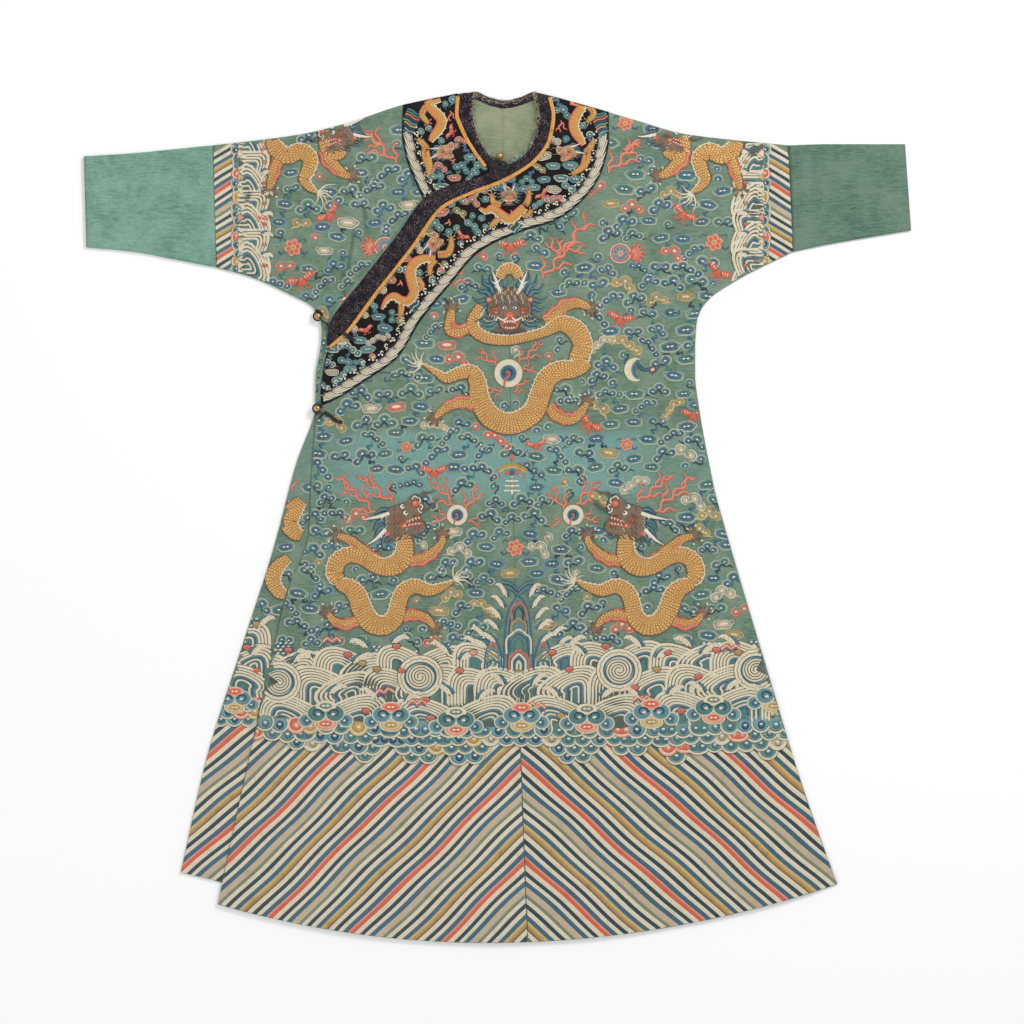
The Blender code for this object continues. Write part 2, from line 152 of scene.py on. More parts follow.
# the robe's cut: rows of each panel, from its inner to its outer line; the sleeves are alike in front and
# behind
# columns: innerX, innerY, outerX, outerY, bow towards the hem
sleeveRows = {
    "right": ((-468, 612, -462, 411, 0), (-404, 619, -407, 396, 0), (-325, 630, -340, 366, 0),
              (-246, 649, -305, 347, 0), (-150, 680, -292, 328, 0)),
    "left": ((478, 612, 486, 437, 0), (386, 621, 400, 394, 0), (307, 631, 350, 361, 0),
             (228, 653, 334, 340, 0), (150, 676, 328, 322, 0)),
}
cut = {
    "back_right": (
        *sleeveRows["right"], (-88, 693, -289, 305, 0),
        (-36, 700, -291, 280, 0), (7.8, 686, -297, 245, 0), (7.8, 480, -300, 180, 0),
        (7.8, 260, -332, 85, 0), (7.8, 20, -368, -50, 0), (7.8, -220, -421, -215, 4),
        (7.8, -450, -478, -395, 8), (7.8, -690, -520, -580, 16)),
    "back_left": (
        *sleeveRows["left"], (95, 690, 326, 300, 0),
        (57, 700, 325, 270, 0), (8.2, 686, 325, 235, 0), (8.2, 480, 333, 172, 0),
        (8.2, 260, 350, 80, 0), (8.2, 20, 379, -45, 0), (8.2, -220, 432, -215, 4),
        (8.2, -450, 497, -427, 8), (8.2, -690, 556, -597, 19)),
    "front_inner_right": (
        *sleeveRows["right"], (-36, 700, -289, 306, 0),
        (-42, 655, -290, 285, 0), (-34, 610, -294, 262, 0), (0, 575, -299, 232, 0),
        (-2, 440, -300, 180, 0), (-4, 250, -332, 85, 0), (-6, 20, -368, -50, 0),
        (-8, -220, -421, -215, 3), (-10, -450, -478, -395, 6), (-12, -664, -521, -584, 10)),
    "front_left": (
        *sleeveRows["left"], (58, 700, 326, 302, 0),
        (65, 655, 325, 278, 0), (52, 610, 325, 252, 0), (13.2, 572, 325, 222, 0),
        (15.2, 440, 335, 150, 0), (21.2, 200, 356, 50, 0), (28.2, -60, 392, -78, 0),
        (35.2, -290, 448, -265, 4), (42.2, -500, 511, -472, 10), (50.2, -698, 559, -603, 19)),
    "front_overlap": (
        (12.8, 571, 2, 568, 0), (13.4, 520, -112, 531, 0), (14.8, 440, -176, 453, 0),
        (17.0, 350, -276, 327, 0), (18.6, 290, -283, 282, 0), (20.8, 200, -292, 225, 0),
        (23.6, 90, -298, 165, 0), (25.0, 40, -305, 75, 0), (27.8, -60, -310, -24, 0),
        (31.0, -170, -346, -125, 2), (34.8, -290, -376, -253, 5), (41.8, -500, -422, -458, 13),
        (49.8, -698, -460, -636, 21)),
    "yoke_right": (
        (-65, 697.5, -155, 679, 0), (-67, 664, -157, 633, 0), (-56, 634, -151, 595, 0),
        (-33, 596, -136, 554, 0), (-14, 572, -116, 514, 0), (-4, 563, -110, 508, 0)),
    "yoke_left": (
        (86, 694, 183, 667, 0), (92, 660, 183, 620, 0), (86, 624, 172, 570, 0), (63, 588, 146, 528, 0),
        (15, 556, 95, 488, 0), (-47, 532, 37, 469, 0), (-91, 511, -28, 438, 0),
        (-144, 440, -80, 380, 0), (-198, 371, -125, 325, 0), (-250, 304, -165, 262, 0),
        (-281, 268, -215, 226, 0), (-288, 232, -262, 196, 0), (-291, 206, -289, 184, 0)),
    "binding_right": (
        (-37, 700, -64, 696, 0), (-40, 660, -66, 664, 0), (-30, 621, -56, 635, 0),
        (-14, 598, -36, 600, 0), (5, 584, -18, 577, 0), (12, 571, -6, 563, 0)),
    "binding_left": (
        (58, 700, 85, 694, 0), (66, 657, 91, 660, 0), (61, 622, 86, 624, 0), (49, 601, 67, 591, 0),
        (29, 585, 42, 573, 0), (2, 575, 14, 556, 0), (-26, 561, -14, 547, 0), (-70, 548, -48, 533, 0),
        (-116, 528, -92, 512, 0), (-170, 458, -145, 441, 0), (-224, 389, -199, 372, 0),
        (-273, 326, -251, 305, 0),
        (-279, 306, -264, 292, 0), (-281, 286, -278, 281, 0)),
    "binding_back": (
        (-44, 689, -44, 698, 0), (-33, 686, -34, 700, 0), (-12, 677, -13, 691, 0), (12, 672, 12, 686, 0),
        (36, 677, 36, 690, 0), (58, 685, 56, 699, 0), (68, 689, 68, 697, 0)),
    "lining_right": ((7.9, 675, -42, 689, 0), (7.9, 650, -44, 655, 0), (7.9, 620, -40, 620, 0),
                     (7.9, 590, -20, 590, 0), (7.9, 566, -6, 566, 0)),
    "lining_left": ((7.9, 675, 72, 689, 0), (7.9, 650, 84, 650, 0), (7.9, 600, 84, 600, 0),
                    (7.9, 560, 60, 560, 0)),
}
# columns: foldX, foldY, seamX, seamY
sleeveEnds = {
    "sleeve_end_right": ((-680, 594, -676, 444), (-601, 599, -600, 437), (-530, 606, -530, 424),
                         (-468.4, 612, -462.4, 411)),
    "sleeve_end_left": ((670, 614, 680, 472), (600, 614, 613, 461), (544, 614, 549, 450),
                        (478.4, 612, 486.4, 437)),
}


# rows of a panel: x = inner (1 - u) + outer u, and y the same less the bow 4 u (1 - u); shares gives the
# columns' u from the greatest width
def rowsOf(name, step, shares):
    innerX, innerY, outerX, outerY, bow = steadyLine(cut[name], step).T[:, :, None]
    u = shares(float(np.hypot(outerX - innerX, outerY - innerY).max()))
    x = innerX * (1 - u) + outerX * u
    y = innerY * (1 - u) + outerY * u - bow * 4 * u * (1 - u)
    return np.stack([x, y], axis=-1)


def outlineOf(name, step=8.0):
    grid = rowsOf(name, step, lambda widest: np.linspace(0, 1, max(3, round(widest / step)) + 1))
    return np.vstack([grid[:, 0], grid[-1, 1:], grid[-2::-1, -1], grid[0, -2:0:-1]])


# how high the cloth lies
stack = {
    "gap": 0.3, "trim": 1.0, "backTop": 1.5, "liningTop": 2.8,
    "innerTop": 3.3, "outerTop": 6.4, "seamReach": 55.0, "sleevePuff": 1.2,
    "shellThickness": 1.1, "backThickness": 0.5, "rollWidth": 7.0, "armRows": 3, "lowest": 1.7,
}
# soft ridges (+) and troughs (-) of the silk: x1, y1, x2, y2, width, height
creases = (
    (-250, 440, -262, 366, 30, 1.4), (300, 440, 282, 330, 34, 1.6), (-270, -60, -310, -330, 40, 1.3),
    (240, -120, 300, -420, 70, 1.2), (-120, -300, -170, -600, 70, 1.1), (120, 60, 150, -220, 60, 1.0),
    # under the right arm
    (-243, 452, -251, 345, 9, 2.8), (-257, 446, -254, 352, 8, -2.2), (-228, 470, -236, 395, 9, 0.9),
    (-212, 500, -246, 430, 12, -0.8), (-296, 420, -270, 372, 9, 1.1), (-318, 430, -288, 372, 6, -0.9),
    # under the left arm
    (316, 395, 300, 330, 9, 2.4), (298, 400, 288, 318, 8, -1.9), (276, 430, 276, 350, 12, 0.9),
    (330, 420, 352, 378, 8, 0.9), (328, 182, 296, 176, 7, 1.2), (330, 168, 300, 160, 5, -0.9),
    # along the overlap's free edge and the skirt
    (-304, 60, -304, -20, 5, 0.7), (-318, -60, -338, -140, 8, 1.2), (-352, -190, -362, -260, 9, 0.9),
    (-288, 10, -300, -120, 14, -0.8), (-200, -420, -226, -640, 18, 0.8), (60, -430, 70, -640, 20, 0.8),
    (180, -380, 210, -610, 24, -0.7), (330, -330, 372, -560, 26, 0.8), (440, -340, 486, -560, 16, 0.7),
    (-380, -330, -408, -560, 12, 0.8), (-60, -100, -80, -330, 26, 0.6), (210, 120, 236, -60, 24, 0.7),
    (-150, 120, -190, -80, 26, 0.6), (330, 20, 372, -180, 16, 0.8),
    # the sleeves
    (-420, 600, -392, 520, 10, 0.9), (-340, 600, -330, 500, 16, 0.7), (-300, 560, -286, 470, 10, -0.7),
    (420, 590, 404, 500, 12, 0.8), (350, 600, 330, 480, 14, 0.8), (260, 610, 250, 520, 18, -0.6),
    (-196, 640, -206, 560, 14, 0.6),
)
sleeveCreases = (
    (-640, 470, -560, 486, 6, 0.6), (-660, 540, -560, 560, 9, 0.5), (-600, 452, -500, 470, 5, -0.5),
    (-492, 600, -486, 430, 5, 0.6), (560, 470, 640, 500, 7, 0.6), (520, 540, 640, 560, 10, 0.5),
    (500, 590, 506, 460, 5, 0.6), (610, 600, 622, 480, 7, -0.5),
)
# the underlap's edge rolls up beside the end of the yoke
sideRoll = ((-290, 330, -295, 190, 7, 3.2),)


# each crease is a bell across its line and fades out towards its ends
def creaseHeight(points, table):
    height = np.zeros(points.shape[:-1])
    for x1, y1, x2, y2, width, rise in table:
        start, along = np.array((x1, y1), float), np.array((x2 - x1, y2 - y1), float)
        length = np.linalg.norm(along)
        t = ((points - start) @ along) / length**2
        across = ((points - start) @ np.array((-along[1], along[0]))) / length
        fade = ease(np.clip(0.5 + (0.5 - np.abs(t - 0.5)) * 2.2, 0, 1))
        height += rise * fade * np.exp(-((across / width) ** 2))
    return height


# broad, slow undulation of cloth that has been folded away for years
def undulation(points):
    x, y = points[..., 0], points[..., 1]
    return (0.30 * np.sin(x / 61 + y / 47 + 1.3) + 0.22 * np.sin(x / 33 - y / 83 + 0.4)
            + 0.16 * np.sin(x / 91 + y / 24 - 2.0) + 0.10 * np.sin(x / 19 + y / 29))


def seamLines(name):
    table = np.asarray(cut[name], float)
    return steadyLine(table[:, 2:4], 12.0), steadyLine(table[:stack["armRows"], 0:2], 12.0)


seams = {name: seamLines(name) for name in ("front_left", "front_inner_right")}
shoulders = {name: steadyLine(np.asarray(cut[name], float)[2:6, 0:2], 8.0) for name in seams}
overlapEdge = steadyLine(np.asarray(cut["front_overlap"], float)[:, 2:4], 8.0)


def seamRise(points, name):
    gap = np.minimum(*(lineGap(points, line) for line in seams[name]))
    return ease(gap / stack["seamReach"]), gap


# the cloth turns down over its last few millimetres at the shoulder fold
def rollDown(points, name, full):
    near = 1 - ease(lineGap(points, shoulders[name]) / stack["rollWidth"])
    return full * near**2


def leftTop(points):
    rise, gap = seamRise(points, "front_left")
    relief = creaseHeight(points, creases) + undulation(points)
    lift = (stack["outerTop"] - stack["innerTop"]) * rise + relief * ease(gap / 26)
    return np.maximum(stack["innerTop"] + lift - rollDown(points, "front_left", 3.4), stack["lowest"])


def overlapTop(points):
    relief = creaseHeight(points, creases) + undulation(points)
    near = lineGap(points, overlapEdge)
    return stack["outerTop"] + relief * (0.35 + 0.65 * ease(near / 26)) - 0.9 * (1 - ease(near / 5))


def innerTopExact(points):
    x, y = points[..., 0], points[..., 1]
    rise, gap = seamRise(points, "front_inner_right")
    sleeve = ease((-200 - x) / 120) * ease((y - 330) / 60)
    chest = ease((y - 300) / 80)
    relief = creaseHeight(points, creases) + undulation(points)
    strip = ease((-290 - x) / 20) * (1 - chest) * 0.8
    keep = np.clip(chest + strip, 0, 1)
    lift = stack["sleevePuff"] * rise * sleeve + relief * ease(gap / 20) * keep * 0.8
    lift = lift + creaseHeight(points, sideRoll)
    height = stack["innerTop"] + np.maximum(lift, -1.0) - rollDown(points, "front_inner_right", 1.4)
    return np.maximum(height, stack["lowest"])


# an outline as a fine stencil: walking along a row, each crossing of the outline turns inside to outside
def stencil(outline, cell=0.5):
    corner = np.floor(outline.min(0)) - 2
    columns, rows = (np.ceil((outline.max(0) - corner) / cell) + 6).astype(int)
    flips = np.zeros((rows, columns), np.int32)
    for (x1, y1), (x2, y2) in zip((outline - corner) / cell, (np.roll(outline, -1, axis=0) - corner) / cell):
        if y1 != y2:
            row = np.arange(math.ceil(min(y1, y2)), math.ceil(max(y1, y2)))
            np.add.at(flips, (row, np.ceil(x1 + (row - y1) * (x2 - x1) / (y2 - y1)).astype(int)), 1)
    mask = np.cumsum(flips, axis=1) % 2 == 1

    def holds(points):
        place = np.round((points - corner) / cell).astype(int)
        x, y = np.clip(place[..., 0], 0, columns - 1), np.clip(place[..., 1], 0, rows - 1)
        return mask[y, x]
    return holds


within = {name: stencil(outlineOf(name)) for name in cut}


# the outer front is one surface: the overlap on one side of the centre seam, the left front on the other
def outerTopExact(points):
    return np.where(within["front_overlap"](points), overlapTop(points), leftTop(points))


# a height worked out once on a fine net, then read between its knots
def heightField(top, low=(-700, -720), high=(700, 720), cell=2.5):
    x, y = (np.arange(low[k], high[k] + cell, cell) for k in (0, 1))
    net = top(np.stack(np.meshgrid(x, y, indexing="ij"), -1))

    def read(points):
        u = np.clip((points - np.array(low)) / cell, 0, np.array(net.shape) - 1.001)
        i, f = u.astype(int), u - u.astype(int)
        a, b = net[i[..., 0], i[..., 1]], net[i[..., 0] + 1, i[..., 1]]
        c, d = net[i[..., 0], i[..., 1] + 1], net[i[..., 0] + 1, i[..., 1] + 1]
        x, y = f[..., 0], f[..., 1]
        return (a * (1 - x) + b * x) * (1 - y) + (c * (1 - x) + d * x) * y
    return read


outerTop = heightField(outerTopExact)
innerTop = heightField(innerTopExact)


# the height of a cloth, lifted
def raised(top, lift):
    return lambda points: top(points) + lift


# one value all over
def constant(value):
    return lambda points: np.full(points.shape[:-1], value)


yokeTop, yokeRightTop = (raised(top, stack["gap"] + stack["trim"]) for top in (outerTop, innerTop))


# meshes
def addPiece(name, vertices, faces, material, thickness=None, uvs=None):
    mesh = bpy.data.meshes.new(name)
    vertices = np.asarray(vertices, float).reshape(-1, 3) * mm
    faces = [np.asarray(block) for block in faces if len(block)]
    sizes = np.concatenate([np.full(len(block), block.shape[1]) for block in faces])
    corners = np.concatenate([block.reshape(-1) for block in faces])
    mesh.vertices.add(len(vertices))
    mesh.vertices.foreach_set("co", vertices.astype(np.float32).ravel())
    mesh.loops.add(len(corners))
    mesh.loops.foreach_set("vertex_index", corners.astype(np.int32))
    mesh.polygons.add(len(sizes))
    starts = np.concatenate([[0], np.cumsum(sizes)[:-1]])
    mesh.polygons.foreach_set("loop_start", starts.astype(np.int32))
    mesh.update(calc_edges=True)
    # a flat map seen from above, so that each face keeps its own place
    low, high = vertices.min(0), vertices.max(0)
    span = max(high[0] - low[0], high[1] - low[1])
    flat = (vertices[:, :2] - low[:2]) / span
    planar = mesh.uv_layers.new(name="OFBake")
    planar.uv.foreach_set("vector", flat[corners].astype(np.float32).ravel())
    if uvs is not None:
        along = mesh.uv_layers.new(name="Along")
        along.uv.foreach_set("vector", np.asarray(uvs, np.float32)[corners].ravel())
    mesh.polygons.foreach_set("use_smooth", np.full(len(sizes), True))
    mesh.materials.append(material)
    mesh.validate()
    piece = bpy.data.objects.new(name, mesh)
    scene.collection.objects.link(piece)
    if thickness:
        shell = piece.modifiers.new("cloth", "SOLIDIFY")
        shell.thickness = thickness * mm
        shell.offset = -1
    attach(piece, "root")
    return piece


def gridFaces(rows, columns, closed=False, first=0):
    i = np.arange(rows - 1)[:, None]
    j = np.arange(columns if closed else columns - 1)[None, :]
    k = (j + 1) % columns
    quads = np.stack(np.broadcast_arrays(i * columns + j, i * columns + k,
                                         (i + 1) * columns + k, (i + 1) * columns + j), -1)
    return quads.reshape(-1, 4) + first


# twice the area of each face's first corner, seen from above: below 0 where the face looks down
def spin(points, faces):
    a, b, c = (points[faces[:, k], :2] for k in range(3))
    return (b - a)[:, 0] * (c - a)[:, 1] - (b - a)[:, 1] * (c - a)[:, 0]


# materials
class Signal:
    # a number or colour on its way through a material, so that sums read as sums
    def __init__(self, finish, socket):
        self.finish, self.socket = finish, socket

    def combine(self, operation, first, second):
        return self.finish.node("ShaderNodeMath", {"operation": operation}, {0: first, 1: second})

    def __add__(self, other):
        return self.combine("ADD", self, other)

    def __radd__(self, other):
        return self.combine("ADD", other, self)

    def __sub__(self, other):
        return self.combine("SUBTRACT", self, other)

    def __rsub__(self, other):
        return self.combine("SUBTRACT", other, self)

    def __mul__(self, other):
        return self.combine("MULTIPLY", self, other)

    def __rmul__(self, other):
        return self.combine("MULTIPLY", other, self)


class Finish:
    # one material and its nodes
    def __init__(self, name):
        self.material = bpy.data.materials.new(name)
        self.material.use_nodes = True
        self.tree = self.material.node_tree
        self.tree.nodes.clear()

    def node(self, kind, settings=None, inputs=None, output=0):
        made = self.tree.nodes.new(kind)
        for key, value in (settings or {}).items():
            setattr(made, key, value)
        for key, value in (inputs or {}).items():
            if isinstance(value, Signal):
                self.tree.links.new(value.socket, made.inputs[key])
            elif isinstance(value, tuple) and made.inputs[key].type == "RGBA":
                made.inputs[key].default_value = (*value, 1)
            else:
                made.inputs[key].default_value = value
        return Signal(self, made.outputs[output]) if len(made.outputs) else None

    # the place on the piece in millimetres, stretched and turned
    def place(self, scale=(1, 1, 1), turn=0.0):
        seen = self.node("ShaderNodeTexCoord", output="Object")
        return self.node("ShaderNodeMapping", None, {
            "Vector": seen, "Scale": tuple(1000 * s for s in scale), "Rotation": (0, 0, math.radians(turn))})

    def noise(self, place, size, detail=3.0, roughness=0.55):
        return self.node("ShaderNodeTexNoise", None, {
            "Vector": place, "Scale": 1 / size, "Detail": detail, "Roughness": roughness})

    # 0 below low, 1 above high, smooth between
    def between(self, value, low, high):
        return self.node("ShaderNodeMapRange", {"interpolation_type": "SMOOTHSTEP"}, {
            "Value": value, "From Min": low, "From Max": high})

    def mix(self, amount, first, second):
        return self.node("ShaderNodeMix", {"data_type": "RGBA"}, {0: amount, 6: first, 7: second}, 2)

    def axis(self, vector, name):
        return self.node("ShaderNodeSeparateXYZ", None, {0: vector}, name)

    def fraction(self, value):
        return self.node("ShaderNodeMath", {"operation": "FRACT"}, {0: value})

    def size(self, value):
        return self.node("ShaderNodeMath", {"operation": "ABSOLUTE"}, {0: value})

    def wave(self, value, pitch, shift=0.0):
        return self.node("ShaderNodeMath", {"operation": "SINE"}, {0: value * (2 * math.pi / pitch) + shift})

    # the stitches' own run and share of width
    def along(self):
        seen = self.node("ShaderNodeUVMap", {"uv_map": "Along"})
        return self.axis(seen, "X"), self.axis(seen, "Y")

    def bump(self, height, distance, strength):
        return self.node("ShaderNodeBump", None,
                         {"Height": height, "Distance": distance * mm, "Strength": strength})

    def done(self, inputs):
        shader = self.node("ShaderNodeBsdfPrincipled", None, inputs)
        self.node("ShaderNodeOutputMaterial", None, {"Surface": shader})
        return self.material


# a narrow fold's painted shade: full on the line from x1, y1 to x2, y2, gone at half its width and past its
# ends
def foldShade(f, place, x1, y1, x2, y2, width, ends=14.0):
    length = math.hypot(x2 - x1, y2 - y1)
    wayX, wayY = (x2 - x1) / length, (y2 - y1) / length
    x, y = f.axis(place, "X") - x1, f.axis(place, "Y") - y1
    along = x * wayX + y * wayY
    across = f.size(x * wayY - y * wayX)
    fade = f.between(along, -ends, ends) * f.between(along, length + ends, length - ends)
    return f.between(across, width, 0.5) * fade


# silk woven of fine crossed threads, with slubs along the weft, years of fading and painted shade along any
# folds given
def wovenSilk(name, colours, thread=0.9, gloss=0.52, sheen=0.25, zone=None, wear=0.5, shine=0.35, folds=()):
    base, deep, pale = colours
    f = Finish(name)
    place = f.place()
    slub = f.noise(f.place((0.16, 1.3, 1)), 2.2, 3)
    fleck = f.noise(f.place((0.5, 1.0, 1)), 1.6, 2)
    cloud = f.noise(place, 70, 4, 0.6)
    rubbed = f.between(f.noise(place, 24, 5, 0.65), 0.56, 0.74)
    stain = f.between(f.noise(f.place(turn=30), 33, 6, 0.7), 0.52, 0.72)
    colour = f.mix(f.between(slub, 0.40, 0.66), base, deep)
    colour = f.mix(f.between(cloud, 0.36, 0.68) * 0.55, colour, pale)
    colour = f.mix(stain * 0.55, colour, deep)
    if zone:
        x, y = f.axis(place, "X"), f.axis(place, "Y")
        drift = f.noise(f.place((0.35, 1, 1)), 26, 3) * 46 - 23
        band = f.between(y + drift, zone["low"], zone["low"] + 22)
        band = band * (1 - f.between(y + drift, zone["high"], zone["high"] + 26))
        middle = f.between(x, zone["left"] - 50, zone["left"] + 50)
        middle = middle * (1 - f.between(x, zone["right"] - 60, zone["right"] + 60))
        colour = f.mix(band * (0.25 + middle * 0.6), colour, zone["colour"])
    colour = f.mix(rubbed * wear, colour, pale)
    colour = f.mix(f.between(fleck, 0.52, 0.72) * 0.6, colour, deep)
    crease = None
    for line in folds:
        shade = foldShade(f, place, *line)
        crease = shade if crease is None else crease + shade
        # painted shade: the silk's colour darkened along each fold
        colour = f.mix(shade * 0.6, colour, (0.040, 0.085, 0.062))
    warp = f.wave(f.axis(place, "X"), thread)
    weft = f.wave(f.axis(place, "Y"), thread)
    height = warp * weft * 0.35 + slub * 0.9 + f.noise(place, 5, 3) * 0.8
    if folds:
        height = height - crease * 3.0
    return f.done({
        "Base Color": colour, "Roughness": gloss + rubbed * 0.15 + slub * 0.1,
        "Normal": f.bump(height, 0.22, 0.8), "Specular IOR Level": shine,
        "Sheen Weight": sheen, "Sheen Roughness": 0.4, "Sheen Tint": pale})


# embroidery floss: stitches side by side across the shape, some painted darker to stand for the light each
# one catches differently
def floss(name, colour, deep, gloss=0.42, pitch=0.8, worn=0.25, wornTo=(0.42, 0.36, 0.25)):
    f = Finish(name)
    place = f.place()
    u, v = f.along()
    stitch = f.wave(u + v * 0.25 + f.noise(place, 6, 2) * 0.9, pitch)
    shade = f.noise(f.node("ShaderNodeCombineXYZ", None, {0: u * 1.1, 1: v * 0.4}), 1.0, 2)
    drift = f.noise(place, 17, 4, 0.6)
    rubbed = f.between(f.noise(place, 9, 5, 0.7), 0.58, 0.78)
    # painted light: stitch by stitch the colour darkens towards deep
    mixed = f.mix(f.between(shade, 0.38, 0.70) * 0.55, colour, deep)
    mixed = f.mix(f.between(drift, 0.48, 0.74) * 0.5, mixed, deep)
    mixed = f.mix(rubbed * worn, mixed, wornTo)
    return f.done({
        "Base Color": mixed, "Roughness": gloss + rubbed * 0.2,
        "Normal": f.bump(stitch + shade * 1.2, 0.12, 0.7), "Specular IOR Level": 0.4,
        "Sheen Weight": 0.15, "Sheen Roughness": 0.35})


# couched gold in overlapping scales: rows along the body, every other row moved by half a scale;
# with a, b from 0 to 1 and -1/2 to 1/2 inside a cell, its edge is the bow a = 0.35 + 0.6 (1 - 4 b b)
def giltScales(name, paintedHighlight, colour, edge, long=4.4, wide=4.6):
    f = Finish(name)
    place = f.place()
    u, v = f.along()
    wander = f.noise(place, 9, 2) - 0.5
    a = (u + wander * 3.0) * (1 / long)
    row = f.node("ShaderNodeMath", {"operation": "FLOOR"}, {0: a})
    b = (v + wander * 2.0) * (1 / wide) + f.fraction(row * 0.5)
    b = f.fraction(b) - 0.5
    past = f.fraction(a) - 0.35 - (1 - b * b * 4) * 0.6
    line = 1 - f.between(f.size(past), 0.07, 0.20)
    # painted highlight: a bright band just inside each scale's edge stands for light on the gold; it also
    # swells the bump there
    shine = f.between(f.size(past + 0.30), 0.22, 0.02)
    dull = f.between(f.noise(place, 13, 5, 0.7), 0.48, 0.72)
    speck = f.noise(place, 1.3, 2)
    mixed = f.mix(f.between(speck, 0.42, 0.64) * 0.3, colour, edge)
    mixed = f.mix(shine * (1 - dull * 0.6), mixed, paintedHighlight)
    mixed = f.mix(line * 0.85, mixed, edge)
    mixed = f.mix(dull * 0.15, mixed, edge)
    return f.done({
        "Base Color": mixed, "Roughness": 0.40 + dull * 0.2, "Metallic": 0.22 - dull * 0.15,
        "Normal": f.bump(shine * 1.5 - line * 1.6 + speck * 0.5, 0.30, 0.9), "Specular IOR Level": 0.5})


# cut pile: short tufts standing up, with painted shade between them, and pale flecks of lost fibre
def pile(name, colour, deep, fleckColour):
    f = Finish(name)
    place = f.place()
    tuft = f.noise(place, 1.5, 3, 0.7)
    worn = f.noise(place, 14, 4, 0.6)
    fleck = f.between(f.noise(f.place((1.0, 0.55, 1), 40), 1.3, 2, 0.8), 0.53, 0.66) * f.between(worn, 0.32,
                                                                                                 0.60)
    # painted shade: darker between the tufts
    mixed = f.mix(f.between(tuft, 0.35, 0.65), deep, colour)
    mixed = f.mix(f.between(f.noise(place, 5, 3), 0.50, 0.66) * 0.5, mixed, (0.060, 0.030, 0.035))
    mixed = f.mix(fleck * 0.8, mixed, fleckColour)
    return f.done({
        "Base Color": mixed, "Roughness": 0.85, "Normal": f.bump(tuft, 0.7, 0.9),
        "Sheen Weight": 0.15, "Sheen Roughness": 0.5, "Sheen Tint": (0.30, 0.28, 0.40),
        "Specular IOR Level": 0.2})


# flat gold braid: a plait of twisted threads with a darker diamond lattice
def goldBraid(name, colour, deep):
    f = Finish(name)
    u, v = f.along()
    twist = f.wave(u + v * 1.6, 2.6)
    other = f.wave(u - v * 1.6, 2.6)
    dull = f.noise(f.place(), 8, 4, 0.6)
    mixed = f.mix(f.between(twist * other, -0.2, 0.9) * 0.45, colour, deep)
    mixed = f.mix(f.between(dull, 0.50, 0.70) * 0.6, mixed, deep)
    return f.done({
        "Base Color": mixed, "Roughness": 0.38, "Metallic": 0.35,
        "Normal": f.bump(twist * 0.5 + other * 0.5, 0.3, 0.9)})


def castBrass(name, colour, deep):
    f = Finish(name)
    place = f.place()
    tarnish = f.between(f.noise(place, 2.4, 4, 0.65), 0.42, 0.66)
    dent = f.noise(place, 0.9, 2)
    return f.done({
        "Base Color": f.mix(tarnish, colour, deep), "Roughness": 0.26 + tarnish * 0.34,
        "Metallic": 0.95 - tarnish * 0.35, "Normal": f.bump(dent, 0.12, 0.5)})


def twistedCord(name, colour, deep):
    f = Finish(name)
    u, v = f.along()
    ply = f.wave(u + v * 2.4, 2.4)
    fuzz = f.noise(f.place(), 0.8, 2)
    return f.done({
        "Base Color": f.mix(f.between(ply + fuzz, 0.1, 1.2), deep, colour), "Roughness": 0.62,
        "Normal": f.bump(ply + fuzz, 0.25, 0.8), "Sheen Weight": 0.2})


silkColours = ((0.158, 0.246, 0.166), (0.076, 0.150, 0.106), (0.262, 0.352, 0.256))
waist = {"low": 22, "high": 128, "left": -250, "right": 230, "colour": (0.185, 0.375, 0.345)}
# narrow folds under the arms and down the sleeves, drawn as painted shade in the silk's colour and a groove
# in its bump
silkFolds = ((-256, 442, -252, 352, 6), (286, 370, 355, 392, 6), (-236, 470, -246, 402, 5),
             (148, 534, 176, 546, 5),
             (-228, 560, -214, 470, 7), (296, 182, 330, 176, 5))
groundSilk = wovenSilk("ground_silk", silkColours, zone=waist, folds=silkFolds)
backSilk = wovenSilk("back_silk", silkColours)
# the sleeve ends: one copy of the silk painted lighter as if lit, one painted darker as if in shade
paintedLitSilk = wovenSilk("painted_lit_silk", ((0.190, 0.372, 0.280), (0.098, 0.228, 0.170), (0.310, 0.490, 0.392)),
                       gloss=0.46, sheen=0.35)
paintedShadeSilk = wovenSilk("painted_shade_silk", ((0.114, 0.210, 0.146), (0.058, 0.122, 0.084), (0.190, 0.282, 0.208)),
                       gloss=0.46)
liningSilk = wovenSilk("lining_silk", ((0.258, 0.300, 0.172), (0.180, 0.228, 0.132), (0.40, 0.40, 0.27)),
                       gloss=0.55)
yokeSatin = wovenSilk("yoke_satin", ((0.007, 0.005, 0.006), (0.004, 0.003, 0.004), (0.020, 0.015, 0.017)),
                      thread=0.6, gloss=0.5, sheen=0.03, wear=0.7, shine=0.15)
bindingPile = pile("binding_pile", (0.013, 0.010, 0.020), (0.003, 0.0025, 0.006), (0.33, 0.27, 0.25))
pipingBraid = goldBraid("piping_braid", (0.86, 0.43, 0.11), (0.34, 0.13, 0.030))
buttonBrass = castBrass("button_brass", (0.72, 0.47, 0.16), (0.16, 0.09, 0.035))
blackCord = twistedCord("black_cord", (0.020, 0.018, 0.020), (0.004, 0.004, 0.005))
print("materials ready")


# the cloth of the robe
# rows of a panel with extra columns close to both edges, where the cloth turns down
def fineRows(name, step, rim=(0, 1.6, 4.0), inset=7):
    def shares(widest):
        edge = np.array(rim) / widest
        middle = np.linspace(inset / widest, 1 - inset / widest, max(3, round(widest / step)))
        return np.concatenate([edge, middle, 1 - edge[::-1]])
    return rowsOf(name, step, shares)


